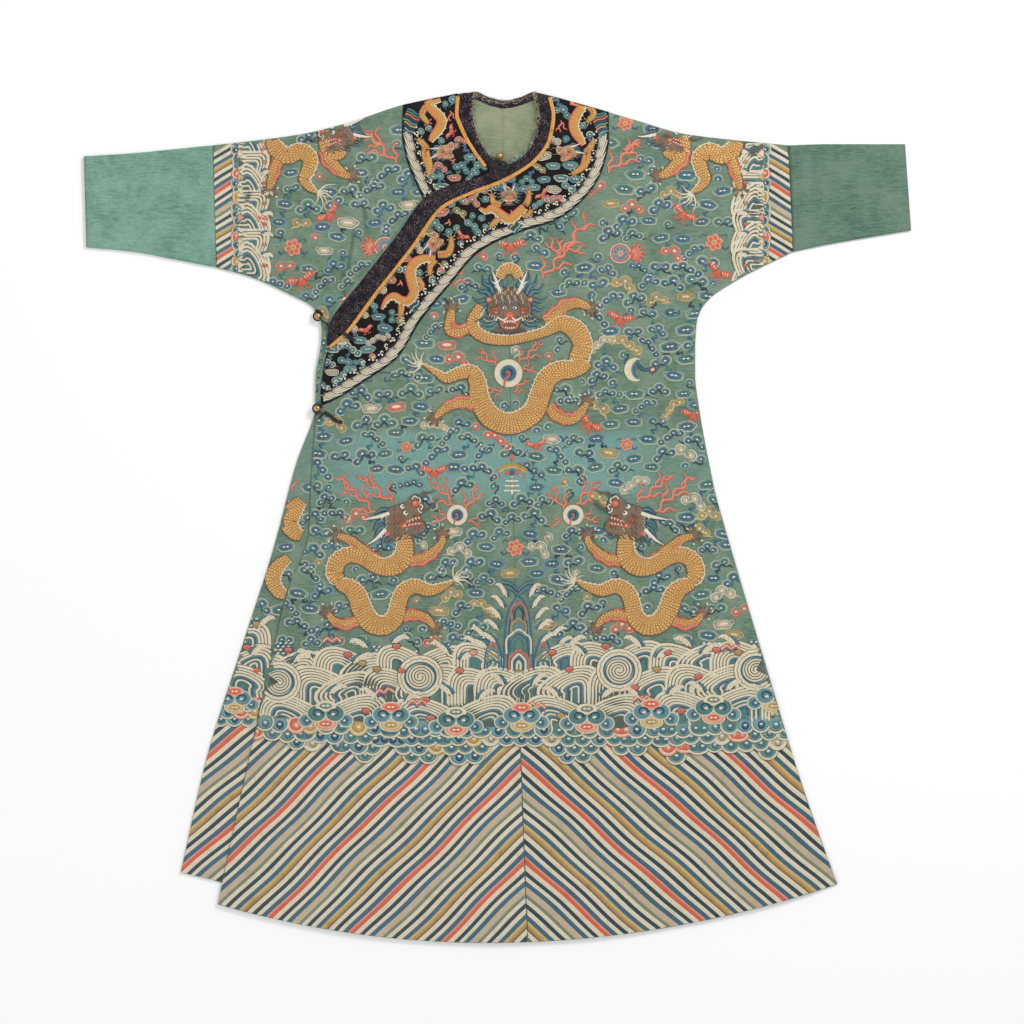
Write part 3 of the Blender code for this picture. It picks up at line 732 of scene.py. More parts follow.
# rows laid at the height of the cloth there, wound so that the face is up, in place of the plain part
def laidPanel(node, cloth, grid, height, material, thickness):
    vertices = np.concatenate([grid, height[..., None]], -1)
    faces = gridFaces(*grid.shape[:2])
    if spin(vertices.reshape(-1, 3), faces).sum() < 0:
        faces = faces[:, ::-1]
    made = addPiece(f"{node}_{cloth}", vertices, [faces], material, thickness)
    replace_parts(made, node)
    return made


clothStep = {"front": 7.4, "back": 18.0, "trim": 4.0}

for name, top in (("front_left", outerTop), ("front_overlap", outerTop), ("front_inner_right", innerTop)):
    grid = fineRows(name, clothStep["front"])
    laidPanel(name, "silk", grid, top(grid), groundSilk,
                             stack["shellThickness"])


def backHeight(points):
    return stack["backTop"] + np.minimum(0.25 * undulation(points) - 0.1, 0.0)


neck = {"x": 8, "low": 685.5, "rise": 14, "half": 46, "reach": 50}


# the back of the neck is cut to one shallow curve that rises with the square of the distance from the middle
def neckLine(x):
    return neck["low"] + neck["rise"] * ((x - neck["x"]) / neck["half"]) ** 2


for name in ("back_right", "back_left"):
    grid = fineRows(name, clothStep["back"])
    edge = neckLine(grid[..., 0])
    above = (np.abs(grid[..., 0] - neck["x"]) < neck["reach"]) & (grid[..., 1] > edge)
    grid[..., 1] = np.where(above, edge, grid[..., 1])
    laidPanel(name, "silk", grid, backHeight(grid), backSilk,
                            stack["backThickness"])
print("panels laid")


tube = {"around": 56, "middle": 2.6, "rise": 1.6, "drop": 2.25, "joint": 0.9, "seam": 470, "wide": 14}


# one sleeve end is a flat tube: over the top from the fold to the seam, and back underneath
def sleeveTube(name):
    foldX, foldY, seamX, seamY = steadyLine(sleeveEnds[name], 6.0).T[:, :, None]
    t = np.linspace(0, 2 * math.pi, tube["around"], endpoint=False)
    u = 0.5 - 0.5 * np.cos(t) * (1 + 0.06 * np.sin(t) ** 2)
    over = np.sin(t) >= 0
    full = np.clip(np.abs(np.sin(t)) * 4.5, 0, 1) ** 0.6
    x = foldX * (1 - u) + seamX * u
    y = foldY * (1 - u) + seamY * u
    points = np.stack(np.broadcast_arrays(x, y), -1)
    relief = creaseHeight(points, sleeveCreases) * 1.3 + undulation(points) * 0.8 + 0.25
    joint = ease(np.abs(np.abs(x) - tube["seam"]) / tube["wide"])
    middle = tube["middle"]
    z = np.where(over, middle + full * (tube["rise"] + tube["joint"] * joint + relief),
                 middle - full * tube["drop"])
    vertices = np.stack(np.broadcast_arrays(x, y, z), -1)
    faces = gridFaces(*vertices.shape[:2], closed=True)
    flat = vertices.reshape(-1, 3)
    outward = spin(flat, faces) * (flat[faces[:, 0], 2] - middle)
    if outward.sum() < 0:
        faces = faces[:, ::-1]
    # the wearer's right sleeve end takes the silk painted lighter as if lit, the left one the silk painted
    # darker as if in shade
    look = paintedLitSilk if name == "sleeve_end_right" else paintedShadeSilk
    made = addPiece(name + "_silk", vertices, [faces], look, thickness=0.9)
    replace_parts(made, name)
    return made


tubes = {name: sleeveTube(name) for name in sleeveEnds}

for name in ("lining_right", "lining_left"):
    grid = fineRows(name, clothStep["trim"])
    x, y = grid[..., 0], grid[..., 1]
    seam = -0.5 * np.exp(-((x - 8) / 5.0) ** 2)
    seam += 0.4 * np.exp(-((x - 15) / 5.0) ** 2)
    fold = 0.5 * np.exp(-((y - 618 + 0.05 * x) / 7.0) ** 2) - 0.4 * np.exp(-((y - 630) / 9.0) ** 2)
    fold += 0.8 * np.exp(-((y - 659 + 0.006 * (x - 10) ** 2) / 3.2) ** 2)
    height = stack["liningTop"] + seam + fold + 0.2 * np.sin(x / 9 + y / 21)
    laidPanel(name, "silk", grid, height, liningSilk, 0.8)

for name, top in (("yoke_left", yokeTop), ("yoke_right", yokeRightTop)):
    grid = fineRows(name, clothStep["trim"], (0, 1.2, 3.0))
    laidPanel(name, "satin", grid, top(grid) + 0.1, yokeSatin, 0.8)


# a binding swells between its edges: its height above the cloth is a half circle raised to a low power
def boundEdge(name, top, swell=1.5, drop=0.6):
    u = 0.5 - 0.5 * np.cos(np.linspace(0, math.pi, 13))
    grid = rowsOf(name, 3.0, lambda widest: u)
    x, y = grid[..., 0], grid[..., 1]
    crown = np.sin(math.pi * u) ** 0.55
    tufts = 0.22 * np.sin(x * 1.9 + y * 0.6) * np.sin(y * 2.3 - x * 0.8)
    height = top(grid) + stack["trim"] + 0.2 - drop * (1 - crown) + swell * crown + tufts * crown
    return laidPanel(name, "pile", grid, height, bindingPile, 0.9)


bindings = {name: boundEdge(name, top) for name, top in (
    ("binding_left", outerTop), ("binding_right", innerTop),
    ("binding_back", constant(stack["liningTop"] - 1.0)))}
print("trims sewn on")


# camera, floor and light
shot = {"x": 0.0239, "y": 0.0090, "height": 6.0, "lens": 128.2}
lens = bpy.data.cameras.new("camera")
lens.lens, lens.sensor_width = shot["lens"], 36
camera = bpy.data.objects.new("camera", lens)
camera.location = (shot["x"], shot["y"], shot["height"])
scene.collection.objects.link(camera)
scene.camera = camera

floorMesh = bpy.data.meshes.new("floor")
reach = 30
corners = [(-reach, -reach, 0), (reach, -reach, 0), (reach, reach, 0), (-reach, reach, 0)]
floorMesh.from_pydata(corners, [], [(0, 1, 2, 3)])
floor = bpy.data.objects.new("floor", floorMesh)
scene.collection.objects.link(floor)
floorLook = Finish("floor_paper")
floorMesh.materials.append(floorLook.done({
    "Base Color": (0.96, 0.96, 0.96), "Roughness": 0.9, "Specular IOR Level": 0.1,
    "Emission Color": (1, 1, 1), "Emission Strength": 0.08}))

world = bpy.data.worlds.new("studio")
scene.world = world
world.use_nodes = True
world.node_tree.nodes["Background"].inputs["Color"].default_value = (1, 1, 1, 1)
world.node_tree.nodes["Background"].inputs["Strength"].default_value = 0.62
scene.view_settings.view_transform = "Standard"


def softBox(name, place, target, size, power):
    lamp = bpy.data.lights.new(name, "AREA")
    lamp.size, lamp.energy = size, power
    box = bpy.data.objects.new(name, lamp)
    box.location = place
    aim = np.subtract(target, place)
    flat = math.hypot(aim[0], aim[1])
    box.rotation_euler = (math.atan2(flat, -aim[2]), 0, math.atan2(aim[1], aim[0]) - math.pi / 2)
    scene.collection.objects.link(box)


softBox("key", (1.9, 2.3, 2.4), (0, 0, 0), 0.9, 62)
softBox("fill", (-2.6, -1.0, 3.2), (0, 0, 0), 2.4, 26)
print("camera and lights set")


# piping, buttons and cords
# a cord's skin: middle + across cos(turn) wide + up sin(turn) high, ring by ring, closed at both ends
def cordSkin(path, across, up, wide, high, sides, first):
    turn = np.linspace(0, 2 * math.pi, sides, endpoint=False)
    rings = (path[:, None] + across[:, None] * (np.cos(turn) * wide)[None, :, None]
             + up[:, None] * (np.sin(turn) * high)[None, :, None])
    count = len(path)
    ends = np.stack([np.arange(sides)[::-1], (count - 1) * sides + np.arange(sides)]) + first
    run = runOf(path)
    uv = np.stack(np.broadcast_arrays(run[:, None], turn[None, :] / math.pi), -1)
    return rings.reshape(-1, 3), [gridFaces(count, sides, closed=True, first=first), ends], uv.reshape(-1, 2)


# along a path in space: which way it runs, its left side and its upper side
def frameAlong(path):
    way = np.gradient(path, axis=0)
    way /= np.linalg.norm(way, axis=1)[:, None]
    across = np.cross((0, 0, 1.0), way)
    across /= np.linalg.norm(across, axis=1)[:, None]
    return way, across, np.cross(way, across)


def strandPiece(name, node, strands, material, sides, wide, high):
    points, faces, uvs, first = [], [], [], 0
    for path in strands:
        _, across, up = frameAlong(path)
        skin, blocks, uv = cordSkin(path, across, up, wide, high, sides, first)
        points.append(skin)
        faces += blocks
        uvs.append(uv)
        first += len(skin)
    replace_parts(addPiece(name, np.vstack(points), faces, material, uvs=np.vstack(uvs)), node)


plait = {"strands": 3, "pitch": 14.0, "swing": 2.15, "rise": 0.55, "wide": 1.32, "high": 0.85, "step": 1.8,
         "sides": 7, "foot": 0.25}
pipingLines = {
    "piping_right": ((-65, 692), (-67, 664), (-57, 635), (-37, 600), (-20, 577)),
    "piping_left": ((86, 690), (92, 660), (86, 623), (65, 590), (15, 556), (-46, 532), (-89, 511),
                    (-142, 441),
                    (-197, 371), (-248, 304), (-276, 279)),
}


# a flat plait: each strand swings across with the sine of its turn and rises with the sine of twice the turn
def braid(name, top):
    path = steadyLine(pipingLines[name], plait["step"])
    run = runOf(path)
    out = waysOf(path)[1]
    slack = 1 + 0.10 * np.sin(run / 23) + 0.06 * np.sin(run / 9 + 2)
    strands = []
    for k in range(plait["strands"]):
        turn = 2 * math.pi * (run / plait["pitch"] + k / plait["strands"])
        middle = path + out * (plait["swing"] * np.sin(turn) * slack)[:, None]
        height = top(path) + plait["foot"] + 1.0 + plait["rise"] * np.sin(2 * turn)
        strands.append(np.column_stack([middle, height]))
    strandPiece(name + "_braid", name, strands, pipingBraid, plait["sides"], plait["wide"],
                plait["high"])


braid("piping_right", yokeRightTop)
braid("piping_left", yokeTop)

fastening = {
    "radius": 5.5, "cord": 1.6, "strand": 0.86, "offset": 0.74, "pitch": 6.0, "strap": 1.62, "sides": 8,
    "buttons": {"neck": (4, 594, 8.6), "underarm": (-295, 331, 9.1), "side": (-296, 179, 12.2)},
    "neckLoop": ((-4, 561, 10.0), (-5, 571, 9.9), (-5, 579, 6.9), (-2, 585, 5.2), (4, 586.6, 5.0),
                 (10, 585, 5.2),
                 (13, 581.5, 6.9), (13, 575, 9.9), (12, 563, 10.0)),
    "knot": ((-4, 576, 9.8), (2, 583, 10.6), (11, 584, 10.4), (17, 578, 10.0), (12, 572, 10.6),
             (3, 573, 11.4),
             (-1, 579, 11.6), (5, 585, 11.8), (14, 581, 11.6), (15, 574, 11.2), (6, 576, 12.4),
             (10, 580, 12.6)),
    "links": {
        "underarm": ((-300, 340, 8.4), (-294, 340, 10.2), (-288, 334, 9.6), (-292, 328, 11.2),
                     (-287, 322, 9.8),
                     (-279, 317, 9.4)),
        "side": ((-298, 168, 9.4), (-292, 174, 10.6), (-288, 168, 9.4), (-293, 164, 10.8), (-287, 170, 9.0),
                 (-281, 171, 8.2))},
    "straps": {
        "underarm": ((-281, 317, 8.1), (-270, 312, 8.2), (-261, 307, 10.4), (-250, 301, 10.7),
                     (-240, 294, 8.5),
                     (-235, 290, 8.1)),
        "side": ((-285, 173, 6.8), (-275, 167, 6.8), (-265, 159, 6.8), (-256, 156, 6.8))},
}


# a cast ball: a sphere with twelve faint lobes that die out towards its poles and a fine raised ring
def ballButton(name):
    rings, sides = 24, 48
    rise = np.linspace(-math.pi / 2, math.pi / 2, rings + 2)[1:-1, None]
    turn = np.linspace(0, 2 * math.pi, sides, endpoint=False)[None, :]
    lobes = 0.10 * np.cos(12 * turn) * np.cos(rise) ** 2 * np.clip(np.sin(rise) * 3, 0, 1)
    ring = 0.16 * np.exp(-((rise - 0.12) / 0.07) ** 2)
    radius = fastening["radius"] - 0.2 + lobes + ring
    grid = np.stack(np.broadcast_arrays(np.cos(rise) * np.cos(turn) * radius,
                                        np.cos(rise) * np.sin(turn) * radius,
                                        np.sin(rise) * radius), -1).reshape(-1, 3)
    grid = np.vstack([grid, [(0, 0, -fastening["radius"] + 0.1)], [(0, 0, fastening["radius"] - 0.1)]])
    j = np.arange(sides)
    k = (j + 1) % sides
    below = np.stack([k, j, np.full(sides, rings * sides)], -1)
    above = np.stack([j, k, np.full(sides, rings * sides + 1)], -1) + ((rings - 1) * sides,
                                                                       (rings - 1) * sides, 0)
    made = addPiece("button_" + name + "_ball", grid + fastening["buttons"][name],
                    [gridFaces(rings, sides, closed=True), np.vstack([below, above])], buttonBrass)
    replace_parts(made, "button_" + name)


# two strands wound round each other: each lies off the middle, turning once in every pitch
def wound(path, phase):
    run = runOf(path)
    _, across, up = frameAlong(path)
    turn = (2 * math.pi * run / fastening["pitch"] + phase)[:, None]
    return path + fastening["offset"] * (across * np.cos(turn) + up * np.sin(turn))


def cordPiece(node, paths):
    strands = [wound(path, phase) for path in paths for phase in (0.0, math.pi)]
    strandPiece(node + "_cord", node, strands, blackCord, fastening["sides"],
                fastening["strand"],
                fastening["strand"])


def ringLoop(centre):
    level = -fastening["radius"] * 0.4
    reach = math.sqrt((fastening["radius"] + fastening["cord"] + 0.3) ** 2 - level**2) + 0.3
    turn = np.radians(np.arange(10, 291, 5))
    return np.array(centre) + np.stack([np.cos(turn) * reach, np.sin(turn) * reach,
                                        np.full(len(turn), level)], -1)


# a strap is one cord laid out and back, side by side, with a round bend at its far end
def strapPath(rows):
    middle = steadyLine(rows, 1.2)
    _, across, _ = frameAlong(middle)
    lane = fastening["strap"]
    end, way = middle[-1], middle[-1] - middle[-2]
    way = way / np.linalg.norm(way)
    bend = np.radians(np.linspace(80, -80, 9))[:, None]
    tip = end + lane * (across[-1] * np.sin(bend) + way * np.cos(bend)) - way * lane
    body = middle[:-1]
    out, back = body + across[:-1] * lane, (body - across[:-1] * lane)[::-1]
    keep = np.linalg.norm(body[:, :2] - end[:2], axis=1) > lane
    return np.vstack([out[keep], tip, back[keep[::-1]]]) + (0, 0, fastening["cord"])


for name in fastening["buttons"]:
    ballButton(name)
cordPiece("loop_neck", [flowLine(fastening[part], 1.0) for part in ("neckLoop", "knot")])
for side, rows in fastening["straps"].items():
    link = flowLine(fastening["links"][side], 1.0)
    cordPiece("loop_" + side, [ringLoop(fastening["buttons"][side]), link])
    cordPiece("strap_" + side, [strapPath(rows)])
print("piping, buttons and cords made")


# needlework
threads = {
    "cream": ((0.800, 0.705, 0.515), (0.550, 0.465, 0.315)),
    "white": ((0.830, 0.780, 0.650), (0.640, 0.570, 0.430)),
    "ochre": ((0.520, 0.320, 0.080), (0.270, 0.140, 0.035)),
    "straw": ((0.640, 0.470, 0.200), (0.430, 0.270, 0.080)),
    "coral": ((0.720, 0.135, 0.075), (0.500, 0.085, 0.050)),
    "salmon": ((0.770, 0.330, 0.220), (0.620, 0.210, 0.130)),
    "rust": ((0.250, 0.100, 0.045), (0.120, 0.050, 0.025)),
    "bark": ((0.150, 0.100, 0.066), (0.062, 0.043, 0.032)),
    "umber": ((0.250, 0.165, 0.105), (0.115, 0.075, 0.048)),
    "tan": ((0.600, 0.330, 0.150), (0.380, 0.170, 0.070)),
    "navy": ((0.024, 0.064, 0.088), (0.013, 0.037, 0.052)),
    "blue": ((0.048, 0.145, 0.222), (0.027, 0.082, 0.130)),
    "sky": ((0.125, 0.275, 0.310), (0.068, 0.172, 0.215)),
    "teal": ((0.055, 0.195, 0.175), (0.028, 0.110, 0.105)),
    "mist": ((0.200, 0.360, 0.370), (0.120, 0.240, 0.260)),
    "pond": ((0.085, 0.225, 0.215), (0.045, 0.145, 0.145)),
    "celadon": ((0.520, 0.540, 0.390), (0.350, 0.380, 0.270)),
    "haze": ((0.205, 0.325, 0.265), (0.145, 0.250, 0.200)),
    "moss": ((0.095, 0.125, 0.100), (0.050, 0.075, 0.062)),
    "reed": ((0.125, 0.232, 0.178), (0.082, 0.162, 0.125)),
    "sage": ((0.220, 0.260, 0.180), (0.130, 0.165, 0.115)),
    "taupe": ((0.590, 0.470, 0.315), (0.410, 0.320, 0.205)),
}
finishes = {name: floss(name + "_floss", *colours) for name, colours in threads.items()}
# the scales' first colour is their painted highlight
finishes["gold"] = giltScales("gilt_scales", (1.000, 0.710, 0.275), (0.740, 0.345, 0.090),
                              (0.120, 0.042, 0.014))
finishes["amber"] = giltScales("amber_scales", (0.960, 0.610, 0.190), (0.790, 0.370, 0.080),
                               (0.330, 0.100, 0.024), 3.2, 3.4)

layer = {"base": 0.30, "step": 0.17}
# the board that keeps what is covered: a cell a millimetre, with the robe's middle at its middle
board = {"cells": 1500, "middle": 750}


def cellOf(points):
    return np.clip(np.round(points + board["middle"]).astype(int), 0, board["cells"] - 1)


def widthsAlong(line, widths):
    line = np.asarray(line, float)
    run = runOf(line)
    return np.interp(run / run[-1], np.linspace(0, 1, len(widths)), widths)


class Needlework:
    # the stitching on one cloth, gathered thread by thread and laid on that cloth's surface
    def __init__(self, zone, top, keep, side=1, relief=1.0, ending="_stitching", coarse=False):
        self.zone, self.top, self.keep, self.side = zone, top, keep, side
        self.relief, self.ending, self.coarse = relief, ending, coarse
        self.laid = {}
        self.turn = 0
        self.covered = np.full((board["cells"], board["cells"]), -1, np.int32)
        self.taken = np.zeros((board["cells"], board["cells"]), bool)

    def add(self, thread, points, lift, uv, faces):
        held = self.laid.setdefault(
            thread, {"points": [], "lift": [], "uv": [], "turn": [], 3: [], 4: [], "count": 0})
        self.turn += 1
        held["points"].append(points)
        held["lift"].append(lift)
        held["uv"].append(uv)
        held["turn"].append(np.full(len(points), self.turn))
        held[faces.shape[1]].append(faces + held["count"])
        held["count"] += len(points)

    # a line of stitches: the line moved left and right by half its width, highest in the middle
    def ribbon(self, thread, line, width, level=1, crown=0.3, across=2, closed=False, tilt=None):
        line = np.asarray(line, float)
        if closed:
            line = np.vstack([line, line[:1]])
        width = np.broadcast_to(np.asarray(width, float), len(line))
        if self.coarse and len(line) > 6:
            some = np.unique(np.append(np.arange(0, len(line), 2), len(line) - 1))
            line, width = line[some], width[some]
        if self.coarse or width.max() < 1.8:
            across = 1
        way = np.gradient(line, axis=0)
        if closed:
            way[0] = way[-1] = line[1] - line[-2]
        way /= np.maximum(np.linalg.norm(way, axis=1), 1e-6)[:, None]
        s = np.linspace(-1, 1, across + 1)
        half = width / 2
        out = np.stack([-way[:, 1], way[:, 0]], -1)
        points = line[:, None] + out[:, None] * (s[None, :] * half[:, None])[..., None]
        swell = crown * (1 - s * s) if across > 1 else np.full(2, crown)
        lift = layer["base"] + layer["step"] * level + swell[None, :] + 0 * half[:, None]
        if tilt:
            lift = lift + (points - np.array(tilt[0])) @ np.array(tilt[1])
        run = runOf(line)
        breadth = half[:, None] if thread in ("gold", "amber") else np.ones((len(line), 1))
        uv = np.stack([run[:, None] + 0 * s, s * breadth], -1)
        self.add(thread, points.reshape(-1, 2), lift.ravel(), uv.reshape(-1, 2), gridFaces(len(line), len(s)))

    # a filled shape: a fan from its middle out to its outline, highest in the middle
    def patch(self, thread, outline, level=1, crown=0.3, tilt=None):
        outline = np.asarray(outline, float)
        if self.coarse and len(outline) > 11:
            outline = outline[::2]
        middle = outline.mean(0)
        count = len(outline)
        points = np.vstack([outline, middle[None]])
        lift = np.full(count + 1, layer["base"] + layer["step"] * level)
        lift[-1] += crown
        if tilt:
            lift = lift + (points - np.array(tilt[0])) @ np.array(tilt[1])
        i = np.arange(count)
        faces = np.stack([i, (i + 1) % count, np.full(count, count)], -1)
        self.add(thread, points, lift, (points - middle) * (1, 0.15), faces)

    # what was stitched before is left out under a round-ended band, or inside an outline
    def cover(self, path, radius=None, hides=True):
        path = np.asarray(path, float)
        reach = 0 if radius is None else float(np.max(radius))
        middle = board["middle"]
        low = np.maximum((path.min(0) - reach + middle).astype(int), 0)
        high = np.minimum((path.max(0) + reach + middle + 1).astype(int), board["cells"] - 1)
        x, y = (np.arange(low[k], high[k]) - middle for k in range(2))
        x, y = np.meshgrid(x, y, indexing="ij")
        spots = np.stack([x, y], -1).astype(float)
        if radius is None:
            hit = inside(spots, path)
        else:
            hit = np.zeros(x.shape, bool)
            for (px, py), r in zip(path, radius):
                hit |= (x - px) ** 2 + (y - py) ** 2 < r * r
        here = (slice(low[0], high[0]), slice(low[1], high[1]))
        self.taken[here] |= hit
        if hides:
            self.covered[here][hit] = self.turn

    # a place that later filling leaves free
    def reserve(self, path, radius=None):
        self.cover(path, radius, hides=False)

    def hidden(self, points, turn):
        place = cellOf(points)
        return self.covered[place[:, 0], place[:, 1]] >= turn

    def isTaken(self, points):
        place = cellOf(points)
        return self.taken[place[:, 0], place[:, 1]].any()

    def spot(self, x, y, size=1.0, angle=0.0, flip=1):
        return Spot(self, x, y, size, angle, flip)

    # one mesh for each thread, cut where the cloth ends or another piece covers it
    def finish(self):
        made = []
        for thread, held in self.laid.items():
            points, lift = np.vstack(held["points"]), np.concatenate(held["lift"])
            uv = np.vstack(held["uv"])
            kept = self.keep(points)
            under = self.hidden(points, np.concatenate(held["turn"]))
            blocks = []
            for sides in (3, 4):
                if held[sides]:
                    faces = np.vstack(held[sides])
                    faces = faces[kept[faces].all(axis=1) & ~under[faces].all(axis=1)]
                    down = spin(points, faces) * self.side < 0
                    faces[down] = faces[down][:, ::-1]
                    blocks.append(faces)
            used = np.unique(np.concatenate([block.ravel() for block in blocks]))
            if not len(used):
                continue
            order = np.zeros(len(points), int)
            order[used] = np.arange(len(used))
            height = self.top(points[used]) + self.side * self.relief * lift[used]
            vertices = np.column_stack([points[used], height])
            name, blocks = f"{self.zone}_{thread}{self.ending}", [order[block] for block in blocks]
            made.append(addPiece(name, vertices, blocks, finishes[thread], uvs=uv[used]))
        total = sum(len(piece.data.polygons) for piece in made)
        print(self.zone, "stitching:", len(made), "threads,", total, "faces")
        return made


class Spot:
    # a small motif's own place: drawn in millimetres about 0, 0, then flipped, turned, sized and moved
    def __init__(self, work, x, y, size, angle, flip):
        self.work, self.at, self.size, self.angle, self.flip = work, (x, y), size, angle, flip

    def move(self, points):
        points = np.asarray(points, float) * (self.flip, 1) * self.size
        return turned(points, self.angle) + self.at

    def ribbon(self, thread, line, width, *rest, **more):
        self.work.ribbon(thread, self.move(line), np.multiply(width, self.size), *rest, **more)

    def patch(self, thread, outline, *rest, **more):
        self.work.patch(thread, self.move(outline), *rest, **more)

    def cover(self, outline):
        self.work.cover(self.move(outline))

    # filled ovals, one a row: thread, x, y, half width, half height, corners, level, crown
    def ovals(self, rows, level=0.0, side=1, angle=0):
        for thread, x, y, wide, high, corners, up, crown in rows:
            self.patch(thread, ellipse(side * x, y, wide, high, count=corners, angle=angle), level + up,
                       crown)

    # flowing lines, one a row: thread, points, step (0 keeps the corners), widths along it, level, crown
    def strokes(self, rows, level=0.0, side=1):
        for thread, points, step, widths, up, crown in rows:
            line = np.array(points, float) * (side, 1)
            line = flowLine(line, step) if step else line
            self.ribbon(thread, line, widthsAlong(line, widths), level + up, crown)


# the slanting stripes of the hem
stripe = {
    # thread and width of each, from the top of the repeat down
    "repeat": (("salmon", 3.0), ("coral", 5.6), ("cream", 6.8), ("navy", 5.8), ("cream", 5.6), ("blue", 6.6),
               ("taupe", 9.0), ("sage", 4.8), ("cream", 6.2), ("navy", 5.8), ("cream", 6.6), ("blue", 6.2),
               ("straw", 4.6), ("ochre", 3.6), ("umber", 2.8), ("cream", 6.6), ("navy", 6.0), ("cream", 6.0),
               ("blue", 6.6)),
    "pitch": 114.0, "sample": 1.5, "piece": 9.0,
}


# each stripe is the band between two slanting lines that waver together, cut to the cloth it lies on
def stripes(work, origin, angle, side, reach, keep, pitch=None, span=6, start=-40, waver=1.3):
    along = np.array((side * math.cos(math.radians(angle)), -math.sin(math.radians(angle))))
    across = np.array((side * math.sin(math.radians(angle)), math.cos(math.radians(angle))))
    pitch = pitch or stripe["pitch"]
    scale = pitch / sum(width for _, width in stripe["repeat"])
    q = np.arange(start * scale, reach, stripe["sample"])
    for turn in range(-span, span):
        edge = -turn * pitch
        for thread, width in stripe["repeat"]:
            width = width * scale
            p = edge - width * np.array((0.0, 0.5, 1.0))
            edge -= width
            sway = waver * (np.sin(q / 47 + edge / 61) + 0.6 * np.sin(q / 21 - edge / 37 + 1.0)) * scale
            lines = origin + across * (p[:, None] + sway[None, :])[..., None] + along * q[None, :, None]
            held = keep(lines)
            if held.sum(axis=1).min() < 4:
                continue
            first = held.argmax(axis=1)
            last = held.shape[1] - 1 - held[:, ::-1].argmax(axis=1)
            count = max(3, int((last - first).mean() * stripe["sample"] / (stripe["piece"] * scale)) + 1)
            places = np.linspace(0, 1, count)[:, None] * (last - first) + first
            grid = np.stack([np.stack([np.interp(places[:, k], np.arange(len(q)), lines[k, :, n])
                                       for n in (0, 1)], -1) for k in range(3)], 1)
            lift = np.full((count, 3), layer["base"]) + np.array((0, 0.5 * scale, 0))
            uv = np.stack(np.broadcast_arrays(places * stripe["sample"], np.array((-1.0, 0, 1.0))), -1)
            work.add(thread, grid.reshape(-1, 2), lift.ravel(), uv.reshape(-1, 2), gridFaces(count, 3))


# still water: rows of lobed scales, and the cloud-headed lobes above them
scaleKinds = {
    # rim, body, line inside the rim, middle, comma
    "teal": ("cream", "reed", "haze", "pond", "blue"), "deep": ("cream", "mist", "sky", "blue", "navy"),
    "pale": ("cream", "haze", "reed", "sky", "blue"),
    "coral": ("salmon", "coral", "cream", "salmon", "coral"),
    "ochre": ("straw", "ochre", "cream", "straw", "ochre"),
    "faded": ("cream", "taupe", "cream", "taupe", "sage"),
}


# one scale: ellipses inside each other, over the row below it and under the row above
def waterScale(work, x, y, size=1.0, kind="teal", level=1.0, angle=0.0, twin=False):
    rim, body, line, ring, eye = scaleKinds[kind]
    s = work.spot(x, y, size, angle, -1 if twin else 1)
    slope = ((x, y), turned((0.0, -0.055), angle))
    wide = 18.0 if twin else 14.6
    s.cover(ellipse(0, 0, wide, 14.0, count=24))
    s.patch("moss", ellipse(0, 0, wide + 0.7, 14.7, count=18), level - 0.4, 0.0, slope)
    for thread, share, up in ((rim, 1.0, 0.0), (line, 0.85, 0.4), (body, 0.70, 0.8)):
        s.patch(thread, ellipse(0, 1.6 * (1 - share), wide * share, 14.0 * share, count=20), level + up, 0.03,
                slope)
    for at in ((-6.4, 6.4) if twin else (1.0,)):
        s.patch(ring, ellipse(at, -1.6, 6.2, 6.4, count=12), level + 1.2, 0.03, slope)
        curl = ellipse(at, -2.4, 4.4, 4.6, -210, 50, 9)
        s.ribbon(eye, curl, widthsAlong(curl, (0.8, 2.6, 3.0, 2.4, 1.6)), level + 1.6, 0.03, across=1,
                 tilt=slope)
        s.patch("white", ellipse(at - 0.4, -0.8, 2.7, 1.5, count=8), level + 2.0, 0.05, slope)


# rows of ovals; "rim" and "body" stand for the threads of the bowl or cap, "first" and "second" of the curls
lobeRims = {"coral": "salmon", "ochre": "straw", "sage": "cream"}
lobe = {
    "sides": (("cream", 31, -8, 12.2, 11.0, 18, -1.4, 0.2), ("mist", 31, -8, 10.6, 9.4, 18, -1.0, 0.2),
              ("pond", 30, -8, 8.2, 7.2, 14, -0.6, 0.1), ("blue", 30, -8, 5.8, 4.9, 14, -0.3, 0.1),
              ("white", 29, -8, 2.3, 1.7, 8, 0.1, 0.1)),
    "bowl": (("cream", 0, -13, 18.5, 10.8, 20, 0, 0.12), ("rim", 0, -13, 16.6, 9.2, 20, 0.5, 0.12),
             ("cream", 0, -13, 12.8, 6.6, 20, 1.0, 0.12), ("rim", 0, -13, 11.6, 5.8, 20, 1.4, 0.12),
             ("body", 0, -13, 8.8, 4.2, 20, 1.8, 0.12)),
    "curls": (("cream", 14.2, 3, 15.4, 13.244, 22, 1.0, 0.15),
              ("first", 14.2, 3, 13.8, 11.868, 22, 1.5, 0.15),
              ("second", 14.2, 3, 11.6, 9.976, 22, 2.0, 0.15), ("white", 11.6, 1.6, 2.9, 2.3, 10, 3.2, 0.2),
              ("white", 3.2, -13, 2.7, 1.5, 8, 4.2, 0.1), ("white", 3.2, 14.9, 2.7, 1.5, 8, 4.2, 0.1)),
    "cap": (("cream", 0, 14.5, 16.2, 8.6, 20, 2.4, 0.12), ("rim", 0, 14.5, 14.6, 7.2, 20, 2.9, 0.12),
            ("body", 0, 14.5, 10.0, 4.8, 20, 3.4, 0.12)),
}


